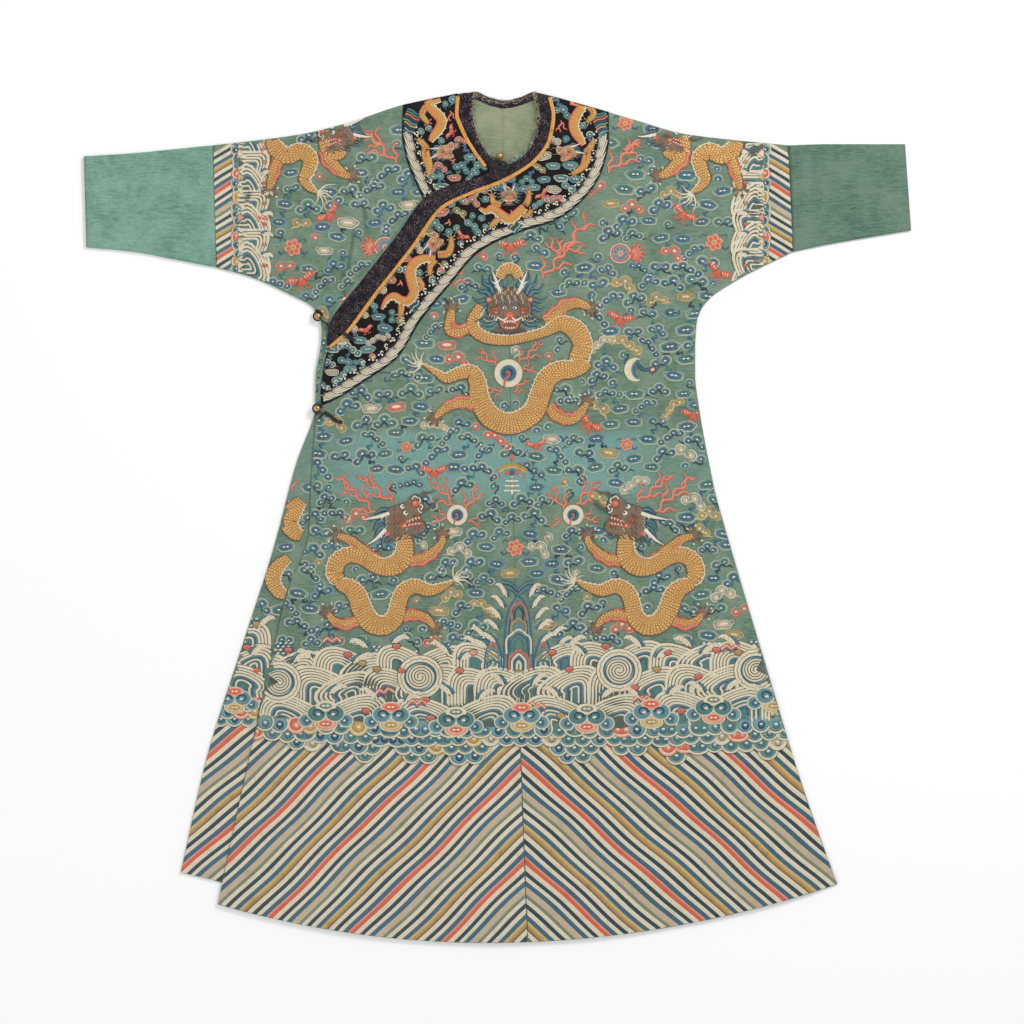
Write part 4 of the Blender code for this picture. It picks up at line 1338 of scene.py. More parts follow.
# a cloud-headed lobe: two inward curls, a cap above, a bowl below and a side lobe at each end
def cloudHead(work, x, y, cap, bowl, curl, size=1.0, level=4.0):
    s = work.spot(x, y, size)

    def dyed(part, **names):
        return [(names.get(row[0], row[0]), *row[1:]) for row in lobe[part]]

    s.ovals(dyed("bowl", rim=lobeRims[bowl], body=bowl), level)
    s.ovals(dyed("cap", rim=lobeRims[cap], body=cap), level)
    for side in (-1, 1):
        s.ovals(lobe["sides"], level, side)
        s.ovals(dyed("curls", first=curl[0], second=curl[1]), level, side)
        s.ribbon(curl[2], spiral(side * 13.4, 3, 8.6, 3.2, 90 + side * 100, 90 - side * 250, 0.85),
                 np.linspace(3.8, 1.4, 19), level + 2.6, 0.25)


stillWater = {
    "across": 25.5, "down": 14.4, "top": -347.0, "rows": 6, "jitter": (2, 1.5), "size": (1.04, 1.18),
    # level within "flat" of "middle", then rising towards the sides
    "middle": 45, "flat": 230, "rise": 0.05, "floorRise": 0.06,
    # the bunches that hang lowest: x, and how far below the notches they reach
    "notch": -376.0, "bunches": ((-323, 24, 42), (-223, 26, 46), (-124, 26, 46), (-45, 34, 42), (124, 32, 42),
                                 (216, 20, 46), (300, 30, 42), (372, 20, 46), (446, 32, 42)),
    "heads": ((-282, -325, "sage", "coral", 1), (-175, -327, "coral", "ochre", 0),
              (-68, -335, "sage", "coral", 1),
              (40, -328, "coral", "ochre", 0), (147, -330, "sage", "coral", 1),
              (253, -322, "coral", "ochre", 0),
              (355, -315, "sage", "coral", 1), (455, -296, "coral", "ochre", 0)),
    "curls": (("mist", "sky", "navy"), ("pond", "pond", "navy")),
    # each kind of scale and the share of draws up to it
    "kinds": (("teal", 0.44), ("deep", 0.66), ("pale", 0.88), ("coral", 0.92), ("ochre", 0.96),
              ("faded", 1.0)),
}


def pastFlat(x):
    return np.maximum(0, np.abs(x - stillWater["middle"]) - stillWater["flat"])


# the lower edge of the scales: a level line with a bow 1 - t t hanging from it at every bunch
def waterFloor(x):
    low = np.full(np.shape(x), stillWater["notch"])
    for at, depth, width in stillWater["bunches"]:
        low = low - depth * np.clip(1 - ((x - at) / width) ** 2, 0, 1)
    return low + stillWater["floorRise"] * pastFlat(x)


def waterScales(work, left, right):
    table = stillWater
    for row in range(table["rows"] - 1, -1, -1):
        y = table["top"] - row * table["down"]
        for k in range(int(left // table["across"]), int(right // table["across"]) + 2):
            sideways, upwards = table["jitter"]
            x = (k + 0.5 * (row % 2)) * table["across"] + rng.uniform(-sideways, sideways)
            centre = y + rng.uniform(-upwards, upwards) + table["rise"] * pastFlat(x)
            if left < x < right and centre - 9 > waterFloor(np.array(x)):
                pick = rng.random()
                kind = next(kind for kind, most in table["kinds"] if pick < most)
                size = rng.uniform(*table["size"])
                waterScale(work, x, centre, size, kind, 5.0 + 0.6 * (k % 2), twin=pick % 0.1 < 0.025)


# rolling water: hills of bowed lines, whirls, foam and the rock
hill = {"line": 3.9, "first": 5.2, "gap": 1.5, "snug": 0.55, "heart": 6.0, "foot": -0.5,
        "inner": (("sky", 2.2), ("blue", 2.2), ("cream", 3.2), ("pond", 2.4), ("cream", 3.2))}


# nested bows that lean and run out into a long foot on one side; a dark ground shows between the lines
def waveHill(work, x, y, radius, squash=0.8, lean=0.0, level=1.0, angle=0.0, pale=5, size=1.0):
    s = work.spot(x, y, 1.0, angle, 1 if lean >= 0 else -1)
    lean = abs(lean) * 1.5
    t = np.radians(np.linspace(205, -10, max(16, int(radius / 2.2))))
    bow = np.stack([np.cos(t), np.sin(t) * squash], -1)
    bow[:, 0] += lean * bow[:, 1] ** 2
    foot = np.clip(-np.cos(t), 0, 1) ** 3
    bow -= np.stack([0.42 * foot, 0.12 * foot], -1)
    body = np.vstack([bow, [(0.9, hill["foot"]), (-1.3, hill["foot"])]]) * radius
    s.cover(body)
    s.patch("moss", body * 1.03, level - 0.5, 0.05)
    way = np.gradient(bow, axis=0)
    room = np.abs(bow[:, 0] * way[:, 1] - bow[:, 1] * way[:, 0]) / np.linalg.norm(way, axis=1)
    room = np.clip(room, 0.6, 1.15)
    r, k = radius, 0
    low = hill["foot"] * radius
    while r > hill["heart"] * size:
        if k < pale:
            thread, width = "cream", hill["line" if k else "first"] * size
        else:
            thread, width = hill["inner"][(k - pale) % len(hill["inner"])]
            width = width * size
        legs = bow * (r - width / 2)
        r -= width + hill["gap"] * size * (1.0 if k < pale - 1 else hill["snug"])
        k += 1
        ends = [legs[:1] * (1.06, 0) + (0, low), legs[-1:] * (1.02, 0) + (0, low)]
        line = np.vstack([ends[0], legs, ends[1]])
        s.ribbon(thread, line, width * np.concatenate([room[:1] * 0.8, room, room[-1:] * 0.8]), level, 0.25)
    heart = [(bow[-1, 0] * r, low), (bow[0, 0] * r, low)]
    s.patch("pond", np.vstack([bow * r, heart]), level - 0.25, 0.05)


# a whirl: a pale disc with dark lines wound into it, inside a ring of dark water and a scalloped ring of foam
whirl = {"ring": 10.4, "turns": 2.05, "line": 1.5, "heart": 0.64, "scallops": 16, "squash": 0.94}


def waterWhirl(work, x, y, radius, turn=1, level=5.0):
    s = work.spot(x, y)
    squash = whirl["squash"]

    def disc(r, count):
        return ellipse(0, 0, r, r * squash, count=count)

    s.cover(disc(radius, 36))
    s.patch("moss", disc(radius + 1.3, 30), level - 0.5, 0.1)
    for r, thread, width in ((radius - whirl["ring"] / 2, "cream", whirl["ring"]),
                             (radius - 11.6, "blue", 1.6),
                             (radius - 13.4, "sky", 1.4)):
        s.ribbon(thread, disc(r, 30), width, level, 0.3, closed=True)
    t = np.radians(np.linspace(0, 360, 65)[:-1])
    lobes = radius - whirl["ring"] * 0.42 - 1.5 * np.abs(np.sin(t * whirl["scallops"] / 2))
    edge = np.stack([lobes * np.cos(t), lobes * np.sin(t) * squash], -1)
    s.ribbon("moss", edge, 1.0, level + 2.4, 0.0, closed=True)
    heart = radius * whirl["heart"]
    s.patch("cream", disc(heart, 28), level + 0.8, 0.4)
    for shift in (40, 220):
        coil = spiral(0, 0, 3.2, heart, shift, shift + turn * 360 * whirl["turns"], squash)
        s.ribbon("moss", coil, whirl["line"], level + 3.4, 0.1)


# foam: a bent tongue with a hooked tip, knobs of spray along its outer side and dark water beside it
def foam(work, x, y, length, angle, bend=0.5, flip=1, level=4.0, size=1.0):
    s = work.spot(x, y, size, angle if flip > 0 else angle - 180, flip)
    t = np.linspace(0, 1, 14)
    line = np.stack([length * t, length * bend * t * t * 0.9], -1)
    line[-4:] += np.array(((0.6, 0.2), (0.9, 1.6), (-0.8, 4.4), (-4.2, 6.4))) * 1.1
    for gap, thread, wide in ((-5.4, "navy", 1.5), (-7.6, "sky", 1.8), (-9.8, "blue", 1.8)):
        low = line[:-3] * (0.92 - abs(gap) * 0.01) + (0, gap * 0.8)
        s.ribbon(thread, low, wide, level - 1.0, 0.15)
    s.ribbon("moss", line, widthsAlong(line, (7.6, 8.6, 7.4, 6.2, 3.6)), level - 0.6, 0.1)
    s.ribbon("cream", line, widthsAlong(line, (3.0, 6.6, 6.2, 5.0, 2.4)), level, 0.5)
    for k in range(3, 13, 2):
        way = line[k] - line[k - 1]
        knob = line[k] + np.array((-way[1], way[0])) / np.linalg.norm(way) * 3.0
        s.patch("cream", ellipse(*knob, 2.9, 2.7, count=8), level + 0.3, 0.4)
    for k in range(2, 12, 3):
        s.patch("sage", ellipse(line[k, 0], line[k, 1] - 0.6, 0.9, 0.7, count=6), level + 3.2, 0.05)


# spray: short rows of pale drops over dark ripples
def ripples(work, x, y, rows=3, size=1.0, level=1.0):
    s = work.spot(x, y, size)
    for row in range(rows):
        down = -row * 5.6
        wave = ((-18, down), (-6, down + 2.4), (6, down - 2.4), (18, down))
        s.strokes((("blue", wave, 5, (3.4,), 0, 0.1),), level)
        for k in range(4 - row % 2):
            at = (k - 1.5 + 0.5 * (row % 2)) * 8.5
            s.patch("white", ellipse(at, down + 1.6, 2.7, 1.4, count=8, angle=20), level + 1.2, 0.2)


# a pointed arch: straight sides bending in to a peak
def peak(x, top, half, height, shoulder=0.42, blunt=0.55):
    side = [(half, -height), (half, -height * shoulder), (half * blunt, -height * shoulder * 0.42), (0, 0)]
    left = [(-a, b) for a, b in side[:-1]]
    return np.array(left + side[::-1]) + (x, top)


rock = {
    "x": 34.0, "top": -131.0, "foot": -268.0, "half": 24.0, "line": 3.2,
    # thread, top, half width, height of each peak in the middle
    "peaks": (("coral", -139, 12.2, 30), ("navy", -147, 6.6, 22), ("ochre", -166, 12.0, 26),
              ("sky", -173, 6.0, 19),
              ("cream", -184, 20.0, 40), ("blue", -191, 13.6, 30), ("teal", -198, 7.6, 24),
              ("coral", -218, 16.0, 34),
              ("cream", -224.5, 11.0, 28), ("blue", -230, 7.4, 22), ("cream", -236, 3.0, 14),
              ("ochre", -252, 14.0, 15)),
    "sidePeaks": (("coral", -206, 4.6, 12), ("sky", -216, 9.0, 14), ("ochre", -225, 8.2, 11),
                  ("blue", -234, 9.5, 14),
                  ("cream", -248, 5.0, 14)),
}


def rockOf(work):
    x, top, foot = rock["x"], rock["top"], rock["foot"]
    outer = flowLine([(x - 25, foot), (x - 22, top - 70), (x - 18, top - 30), (x - 9, top - 8), (x, top + 1),
                      (x + 9, top - 8), (x + 18, top - 30), (x + 22, top - 70), (x + 26, foot)], 6)
    work.patch("reed", np.vstack([outer, [(x, foot - 6)]]), 2.0, 0.1)
    for inset, thread, width in ((0.0, "blue", 2.8), (3.4, "sky", 2.2), (6.4, "navy", 1.8)):
        line = (outer - (x, 0)) * (1 - inset / rock["half"], 1) + (x, -inset * 1.2)
        work.ribbon(thread, line, width, 3.0, 0.25)
    for thread, tip, half, height in rock["peaks"]:
        work.ribbon(thread, flowLine(peak(x + 1, tip, half, height), 5), rock["line"], 3.4, 0.35)
    for side in (-1, 1):
        at = x + side * 41
        low = [(at - 15, foot), (at - 13, foot + 40), (at - 7, foot + 62), (at, foot + 72),
               (at + 7, foot + 62),
               (at + 13, foot + 40), (at + 15, foot)]
        edge = flowLine(low, 5)
        work.patch("reed", np.vstack([edge, [(at, foot - 5)]]), 1.4, 0.1)
        work.ribbon("blue", edge, 2.6, 2.4, 0.25)
        work.ribbon("sky", (edge - (at, foot)) * (0.78, 0.93) + (at, foot), 1.9, 2.4, 0.2)
        for thread, tip, half, height in rock["sidePeaks"]:
            work.ribbon(thread, flowLine(peak(at, tip, half, height), 4), 2.8, 3.0, 0.3)
    # spouts of water rise where the peak parts it
    for k, thread in enumerate(("blue", "sky", "navy", "sky", "blue")):
        low = top + 1 + 3.3 * k
        half = flowLine([(0, low), (6, low + 5.5), (13, low + 11), (23 + k, low + 14)], 3)
        work.ribbon(thread, np.vstack([half[:0:-1] * (-1, 1), half]) + (x, 0), 1.9, 1.6, 0.2)
    for side in (-1, 1):
        for k, (dx, dy, length, way) in enumerate(((19, 0, 34, 102), (24, -18, 34, 108), (29, -36, 34, 114),
                                                   (33, -54, 34, 120), (38, -74, 34, 126), (56, -64, 30, 120),
                                                   (68, -76, 28, 130))):
            angle = way if side < 0 else 180 - way
            foam(work, x + side * dx, top + dy, length, angle, 0.34, -side, 3.0, 0.8)


rolling = {
    # the rock is stitched before the hill with this number
    "rockAt": 15,
    # x, y of the middle of the base, radius, lean, row
    "hills": (
        # behind
        (-385, -262, 44, 0.3, 0), (-322, -252, 40, 0.2, 0), (-262, -248, 42, -0.2, 0),
        (-205, -256, 40, 0.1, 0),
        (-166, -238, 34, -0.2, 0), (-88, -244, 40, 0.3, 0), (-38, -236, 36, -0.3, 0), (112, -236, 38, 0.3, 0),
        (160, -240, 42, -0.2, 0), (240, -236, 40, 0.2, 0), (292, -244, 44, -0.3, 0), (345, -238, 38, 0.3, 0),
        (392, -240, 44, -0.1, 0), (446, -236, 38, 0.1, 0), (480, -246, 36, 0.1, 0),
        # middle
        (-372, -288, 46, 0.2, 1), (-298, -286, 50, -0.25, 1), (-240, -290, 44, 0.3, 1),
        (-178, -286, 46, -0.3, 1),
        (-100, -284, 50, 0.25, 1), (-40, -284, 44, -0.3, 1), (8, -286, 48, -0.25, 1), (66, -284, 48, 0.25, 1),
        (128, -282, 46, 0.3, 1), (196, -284, 48, -0.25, 1), (262, -284, 46, 0.3, 1), (322, -282, 48, -0.3, 1),
        (382, -280, 46, 0.25, 1), (440, -276, 48, -0.2, 1), (492, -276, 40, 0.2, 1),
        # in front
        (-350, -330, 50, -0.3, 2), (-229, -334, 52, 0.3, 2), (-122, -338, 52, -0.3, 2),
        (-14, -336, 52, 0.3, 2),
        (93, -336, 52, -0.3, 2), (200, -334, 52, 0.3, 2), (304, -328, 52, -0.3, 2), (405, -318, 50, 0.3, 2),
        (502, -300, 44, -0.2, 2)),
    "whirls": ((-359, -271, 36, 1), (-127, -262, 37, -1), (200, -251, 37, 1), (425, -251, 36, -1)),
    "foams": (
        (-334, -238, 34, 60, 0.5, -1), (-306, -232, 26, 120, 0.4, 1), (-236, -240, 34, 55, 0.5, -1),
        (-214, -214, 30, 130, 0.4, 1), (-172, -206, 26, 50, 0.4, -1), (-80, -226, 36, 118, 0.4, 1),
        (-60, -236, 30, 60, 0.5, -1), (-18, -214, 26, 130, 0.4, 1), (118, -210, 30, 55, 0.4, -1),
        (142, -226, 34, 122, 0.5, 1), (236, -214, 32, 118, 0.4, 1), (262, -232, 32, 60, 0.5, -1),
        (318, -212, 30, 124, 0.4, 1), (336, -226, 30, 62, 0.5, -1), (392, -212, 32, 120, 0.4, 1),
        (468, -210, 28, 120, 0.4, 1), (-276, -290, 30, 55, 0.5, -1), (-198, -298, 32, 122, 0.4, 1),
        (-150, -302, 28, 60, 0.5, -1), (-76, -292, 30, 120, 0.4, 1), (-30, -300, 30, 62, 0.4, -1),
        (10, -276, 30, 116, 0.3, 1), (58, -276, 30, 64, 0.3, -1), (100, -296, 30, 118, 0.4, 1),
        (172, -296, 28, 60, 0.5, -1), (232, -296, 30, 120, 0.4, 1), (282, -292, 28, 60, 0.4, -1),
        (338, -288, 30, 118, 0.4, 1), (376, -284, 28, 60, 0.4, -1), (436, -290, 26, 118, 0.4, 1),
        (-396, -230, 26, 60, 0.4, -1), (-410, -300, 28, 62, 0.4, -1)),
    "ripples": ((-352, -208), (-284, -222), (-190, -214), (-146, -222), (-22, -232), (96, -226), (176, -216),
                (266, -214), (352, -208), (430, -206), (-262, -262), (-206, -268), (-66, -262), (148, -262),
                (246, -262), (372, -250), (-392, -246)),
    "gems": ((-344, -218, "coral"), (-246, -226, "coral"), (-222, -240, "ochre"), (-166, -212, "coral"),
             (-158, -252, "coral"), (-62, -252, "coral"), (-40, -222, "salmon"), (90, -222, "coral"),
             (118, -250, "coral"), (178, -212, "coral"), (262, -250, "ochre"), (280, -222, "coral"),
             (360, -218, "coral"), (396, -222, "ochre"), (470, -224, "coral"), (-118, -300, "coral"),
             (-198, -250, "ochre"), (226, -280, "coral"), (330, -262, "coral"), (440, -212, "coral"),
             (-216, -318, "coral"), (-110, -330, "coral"), (104, -326, "ochre"), (302, -318, "coral")),
    "chevrons": ((-132, -306, 0), (-186, -288, 10), (-272, -204, 0), (238, -300, 0), (64, -312, -8),
                 (384, -216, 0)),
}


# a jewel afloat in the water: a half dome with a pale brim over a pointed foot
def gem(work, x, y, thread, size=1.0, level=6.0):
    s = work.spot(x, y, size)
    s.patch("navy", flowLine([(-7.6, 0), (-4, 5), (4, 5), (7.6, 0), (0, -5.6)], 3, True), level - 0.4, 0.1)
    s.patch(thread, flowLine([(-6.4, 0), (-3.4, 4), (3.4, 4), (6.4, 0), (0, -4.6)], 3, True), level, 0.5)
    s.ribbon("salmon" if thread == "coral" else "straw", [(-5.4, 0.6), (-2.6, 3.2), (2.6, 3.2), (5.4, 0.6)],
             1.3,
             level + 2.4, 0.1)


# a small scroll of spray: red and pale chevrons side by side over dark water
def chevrons(work, x, y, angle, level=5.6):
    s = work.spot(x, y, 1.0, angle)
    for thread, up in (("blue", -5.4), ("coral", -2.6), ("cream", 0.2), ("coral", 3.0)):
        s.ribbon(thread, [(-15, up), (-7.5, up + 6), (0, up), (7.5, up + 6), (15, up)], 2.2, level, 0.2)


def rollingWater(work):
    table = rolling
    beforeRock = table["hills"][table["rockAt"]][0]
    for x, y in table["ripples"]:
        ripples(work, x, y, 4, 1.0, 0.8)
    for x, y, radius, lean, row in table["hills"]:
        if row == 1 and x == beforeRock:
            rockOf(work)
        waveHill(work, x, y, radius, 0.86, lean, 1.0 + row * 1.2, pale=4 + (int(x) % 3))
    for x, y, radius, turn in table["whirls"]:
        waterWhirl(work, x, y, radius, turn, 4.6)
    for x, y, length, angle, bend, flip in table["foams"]:
        foam(work, x, y, length, angle, bend, flip, 5.4 if y < -270 else 3.4, 0.95)
    for x, y, thread in table["gems"]:
        gem(work, x, y, thread)
    for x, y, angle in table["chevrons"]:
        chevrons(work, x, y, angle)


def cloudHeads(work):
    for x, y, cap, bowl, curl in stillWater["heads"]:
        cloudHead(work, x, y, cap, bowl, stillWater["curls"][curl], 1.06, 11.0)


# a limb or body: a swelling ribbon of gold scales with a dark edge, and a pale line with spines on its back
def scaledBody(work, rows, level=6.0, back=1, spines=True, thread="gold", belly="bark"):
    line = flowLine(rows)
    path, width = line[:, :2], np.maximum(line[:, 2], 0.8)
    way, out = waysOf(path)
    out = out * back
    work.cover(path, width / 2 + 1.0)
    work.ribbon("bark", path, width + 2.6, level - 0.8, 0.0)
    work.ribbon(thread, path, width, level, 0.95, across=4)
    if spines:
        edge = path + out * (width / 2 + 0.7)[:, None]
        work.ribbon("cream", edge, np.where(width > 3, 1.75, 0.9), level + 1.0, 0.3)
        for k in range(4, len(path) - 2, 3):
            tip = edge[k] + out[k] * 3.6 - way[k] * 1.5
            work.patch("cream", [edge[k] + way[k] * 1.8, tip, edge[k] - way[k] * 1.8], level + 0.8, 0.1)
    edge = path - out * (width / 2 + 0.5)[:, None]
    work.ribbon(belly, edge, 1.7 if belly == "bark" else 2.6, level + 0.6, 0.15)


# a five-toed claw, opened like a fan, each toe tipped with a nail
def claw(work, x, y, angle, size=1.0, level=7.0, thread="umber"):
    s = work.spot(x, y, size, angle)
    s.patch(thread, ellipse(1, 0, 5.6, 5.0, count=12), level, 0.5)
    for spread, long in ((-104, 8.0), (-50, 10.5), (0, 11.0), (50, 10.5), (104, 8.0)):
        toe = turned([(1, 0), (long * 0.5, 1.4), (long, 0.2)], spread)
        s.strokes((("bark", toe, 2, (5.0, 4.0, 3.2), 0.2, 0.2),
                   (thread, toe, 2, (3.4, 2.8, 2.0), 0.8, 0.4)), level)
        s.patch("rust", turned(ellipse(long * 0.72, 0.7, 1.5, 1.2, count=6), spread), level + 3.2, 0.1)
        nail = turned([(long, -1.1), (long + 2.2, -0.5), (long + 3.8, 1.5), (long + 1.0, 1.5)], spread)
        s.patch("cream", nail, level + 0.8, 0.2)


def limb(work, rows, clawAngle, size=1.0, back=1, level=7.0):
    scaledBody(work, rows, level, back, spines=False)
    line = flowLine(rows)
    out = waysOf(line[:, :2])[1] * back
    half = max(5, int(len(line) * 0.74))
    for side, span in ((1, slice(1, half)), (-1, slice(0, half * 2 // 3))):
        sway = 1.3 * np.sin(np.arange(len(line)) * 0.9 + side)[span, None]
        edge = line[span, :2] + out[span] * side * (line[span, 2] / 2 + 0.2)[:, None]
        work.ribbon("coral", edge + out[span] * sway, 2.3 * size, level + 2.0, 0.3)
        if side > 0:
            work.ribbon("salmon", edge + out[span] * (sway - 2.6), 1.9 * size, level + 5.4, 0.1)
            work.ribbon("coral", edge + out[span] * (sway * 0.4 - 5.0), 1.3 * size, level + 6.0, 0.2)
    claw(work, line[-1, 0], line[-1, 1], clawAngle, size * 1.55, level + 0.4)


# a lock of mane: a tapering curl drawn in three blues
def lock(s, points, width, level, side=1):
    line = flowLine(np.array(points) * (side, 1))
    swell = widthsAlong(line, (width, width * 0.8, 0.8))
    for k, thread in enumerate(("navy", "blue", "sky")):
        s.ribbon(thread, line + (0.35 * k, -0.2 * k), swell * (1 - 0.34 * k), level + 0.7 * k, 0.25)


# the full-faced head about the bridge of the nose, its rows those of strokes and ovals, x on the right half
facingHorn = ((12, 24), (19, 36), (22, 46), (29, 62))
facingFace = {
    "mane": (((30, -4), (40, 2), (48, -3), (57, 3)), ((30, 8), (41, 15), (50, 12), (62, 20)),
             ((29, 16), (38, 28), (48, 29), (56, 42)), ((26, 22), (32, 36), (42, 42), (45, 57)),
             ((20, 26), (24, 40), (32, 48), (31, 62)), ((27, -12), (37, -12), (44, -19), (54, -18)),
             ((14, 28), (14, 40), (19, 48), (15, 56)), ((24, -20), (32, -26), (42, -26), (48, -32))),
    "horn": (("bark", facingHorn, 2.5, (9, 7.4, 6, 2.6), -0.6, 0.1),
             ("white", facingHorn, 2.5, (7, 5.4, 4, 1.2), 0, 0.8),
             ("white", ((17, 33), (25, 37)), 0, (3.2, 1.0), 0.4, 0.4),
             ("white", ((21, 42), (14, 50)), 0, (3.2, 1.0), 0.4, 0.4),
             ("white", ((22, 40), (29, 45)), 0, (3.2, 1.0), 0.4, 0.4)),
    "ear": ((25, 9), (29, 19), (39, 21), (40, 12), (34, 6)),
    "skull": ((0, 33), (14, 34), (24, 26), (31, 16), (35, 4), (34, -8), (26, -16), (18, -20), (12, -34),
              (0, -38)),
    # each row of fur: its height and half its number of hairs
    "fur": ((8, 5), (15, 4.4), (22, 3.4), (28, 2.4)),
    # cheek and eye
    "ovals": (("rust", 24, -4, 8.4, 6.4, 14, 5.0, 0.4), ("cream", 22.5, -6.4, 2.6, 1.3, 8, 8.2, 0.1),
              ("navy", 8.6, 1.6, 5.2, 3.9, 14, 6.0, 0.2), ("white", 8.4, 1.3, 3.6, 2.6, 12, 7.2, 0.6),
              ("navy", 8.0, 1.2, 1.7, 1.8, 8, 10.6, 0.2), ("salmon", 2.6, -12, 1.8, 1.4, 7, 14.0, 0.1)),
    # brow, moustache of pale curls, and the long whisker
    "strokes": (("bark", ((3, 7), (10, 10.5), (18, 6)), 2, (3.0,), 7.0, 0.5),
                ("sky", ((4, 10), (11, 13.5), (19, 9)), 2, (1.4,), 8.0, 0.2),
                ("white", ((4, -15), (11, -19), (19, -15), (23, -20)), 2, (2.6,), 8.0, 0.4),
                ("bark", ((12, -12), (28, -19), (40, -13), (56, -21)), 3, (2.0,), 8.0, 0.3),
                ("taupe", ((20, -15), (33, -21), (44, -16)), 3, (1.2,), 9.4, 0.2)),
    "mouth": (("coral", 0, -11, 7.0, 5.8, 14, 8.0, 1.1), ("coral", 0, -26, 15.0, 8.4, 20, 6.0, 0.4),
              ("rust", 0, -27, 10.8, 4.8, 16, 8.6, 0.1)),
}


def facingHead(work, x, y, size=1.0, level=10.0, fur="umber"):
    s = work.spot(x, y, size)
    face = facingFace
    for side in (-1, 1):
        for points in face["mane"]:
            lock(s, points, 8.6, level - 3, side)
        s.strokes(face["horn"], level, side)
        ear = np.array(face["ear"]) * (side, 1)
        s.patch("bark", flowLine(ear, 4, True), level - 0.2, 0.4)
        s.patch("salmon", flowLine((ear - (side * 33.5, 14)) * 0.5 + (side * 34, 14.5), 3, True), level + 1.2,
                0.2)
    half = np.array(face["skull"])
    skull = flowLine(np.vstack([half, half[-2:0:-1] * (-1, 1)]), 5, True)
    s.patch("navy", skull * 1.06, level, 0.2)
    s.patch(fur, skull, level + 0.6, 0.9)
    for row, (low, reach) in enumerate(face["fur"]):
        for k in np.arange(-reach, reach + 0.1, 1.0):
            hair = [(k * 5.4, low), (k * 5.5, low + 4), (k * 5.2 + 0.6 * (-1) ** row, low + 7.5)]
            s.ribbon("taupe" if (int(k + 9) + row) % 2 else "bark", flowLine(hair, 2),
                     1.9 if row % 2 else 1.5,
                     level + 6.2, 0.2)
    for side in (-1, 1):
        for k in range(5):
            crease = [(side * (16 + 3.4 * k), 4 - k), (side * (19 + 3.4 * k), 9 - 1.5 * k)]
            s.ribbon("bark", crease, 1.4, level + 5.8, 0.2)
        for k in range(4):
            bristle = [(side * (20 + 4 * k), -12 + k), (side * (22 + 4.2 * k), -19 + 1.6 * k)]
            s.ribbon("taupe", bristle, (2.0, 0.7), level + 5.6, 0.3)
        s.ribbon("coral", spiral(side * 24, -4, 5.2, 1.6, 90 - side * 60, 90 + side * 260), 1.7, level + 7.0,
                 0.3)
        s.ovals(face["ovals"], level, side)
        s.strokes(face["strokes"], level, side)
    s.ovals(face["mouth"], level)
    for k in range(-2, 3):
        for foot, tip, apart, at, wide in ((2.6, -2.0, 3.9, -22.0 - 0.25 * abs(k), 2.0),
                                           (-1.8, 1.6, 3.3, -31.0 + 0.3 * abs(k), 1.6)):
            tooth = np.array([(-wide, foot), (0, tip), (wide, foot)]) + (k * apart, at)
            s.patch("white", tooth, level + 9.6, 0.2)
    for k in range(-4, 5):
        n = abs(k)
        beard = ((k * 4.6, -34 + 0.4 * n), (k * 5.8, -41 + 1.1 * n), (k * 7.4, -44 + 1.8 * n))
        s.strokes((("navy", beard, 2, (6.4, 5.0, 1.6), -0.2, 0.2),
                   ("bark", beard, 2, (4.8, 3.6, 0.8), 0.8, 0.4)), level)


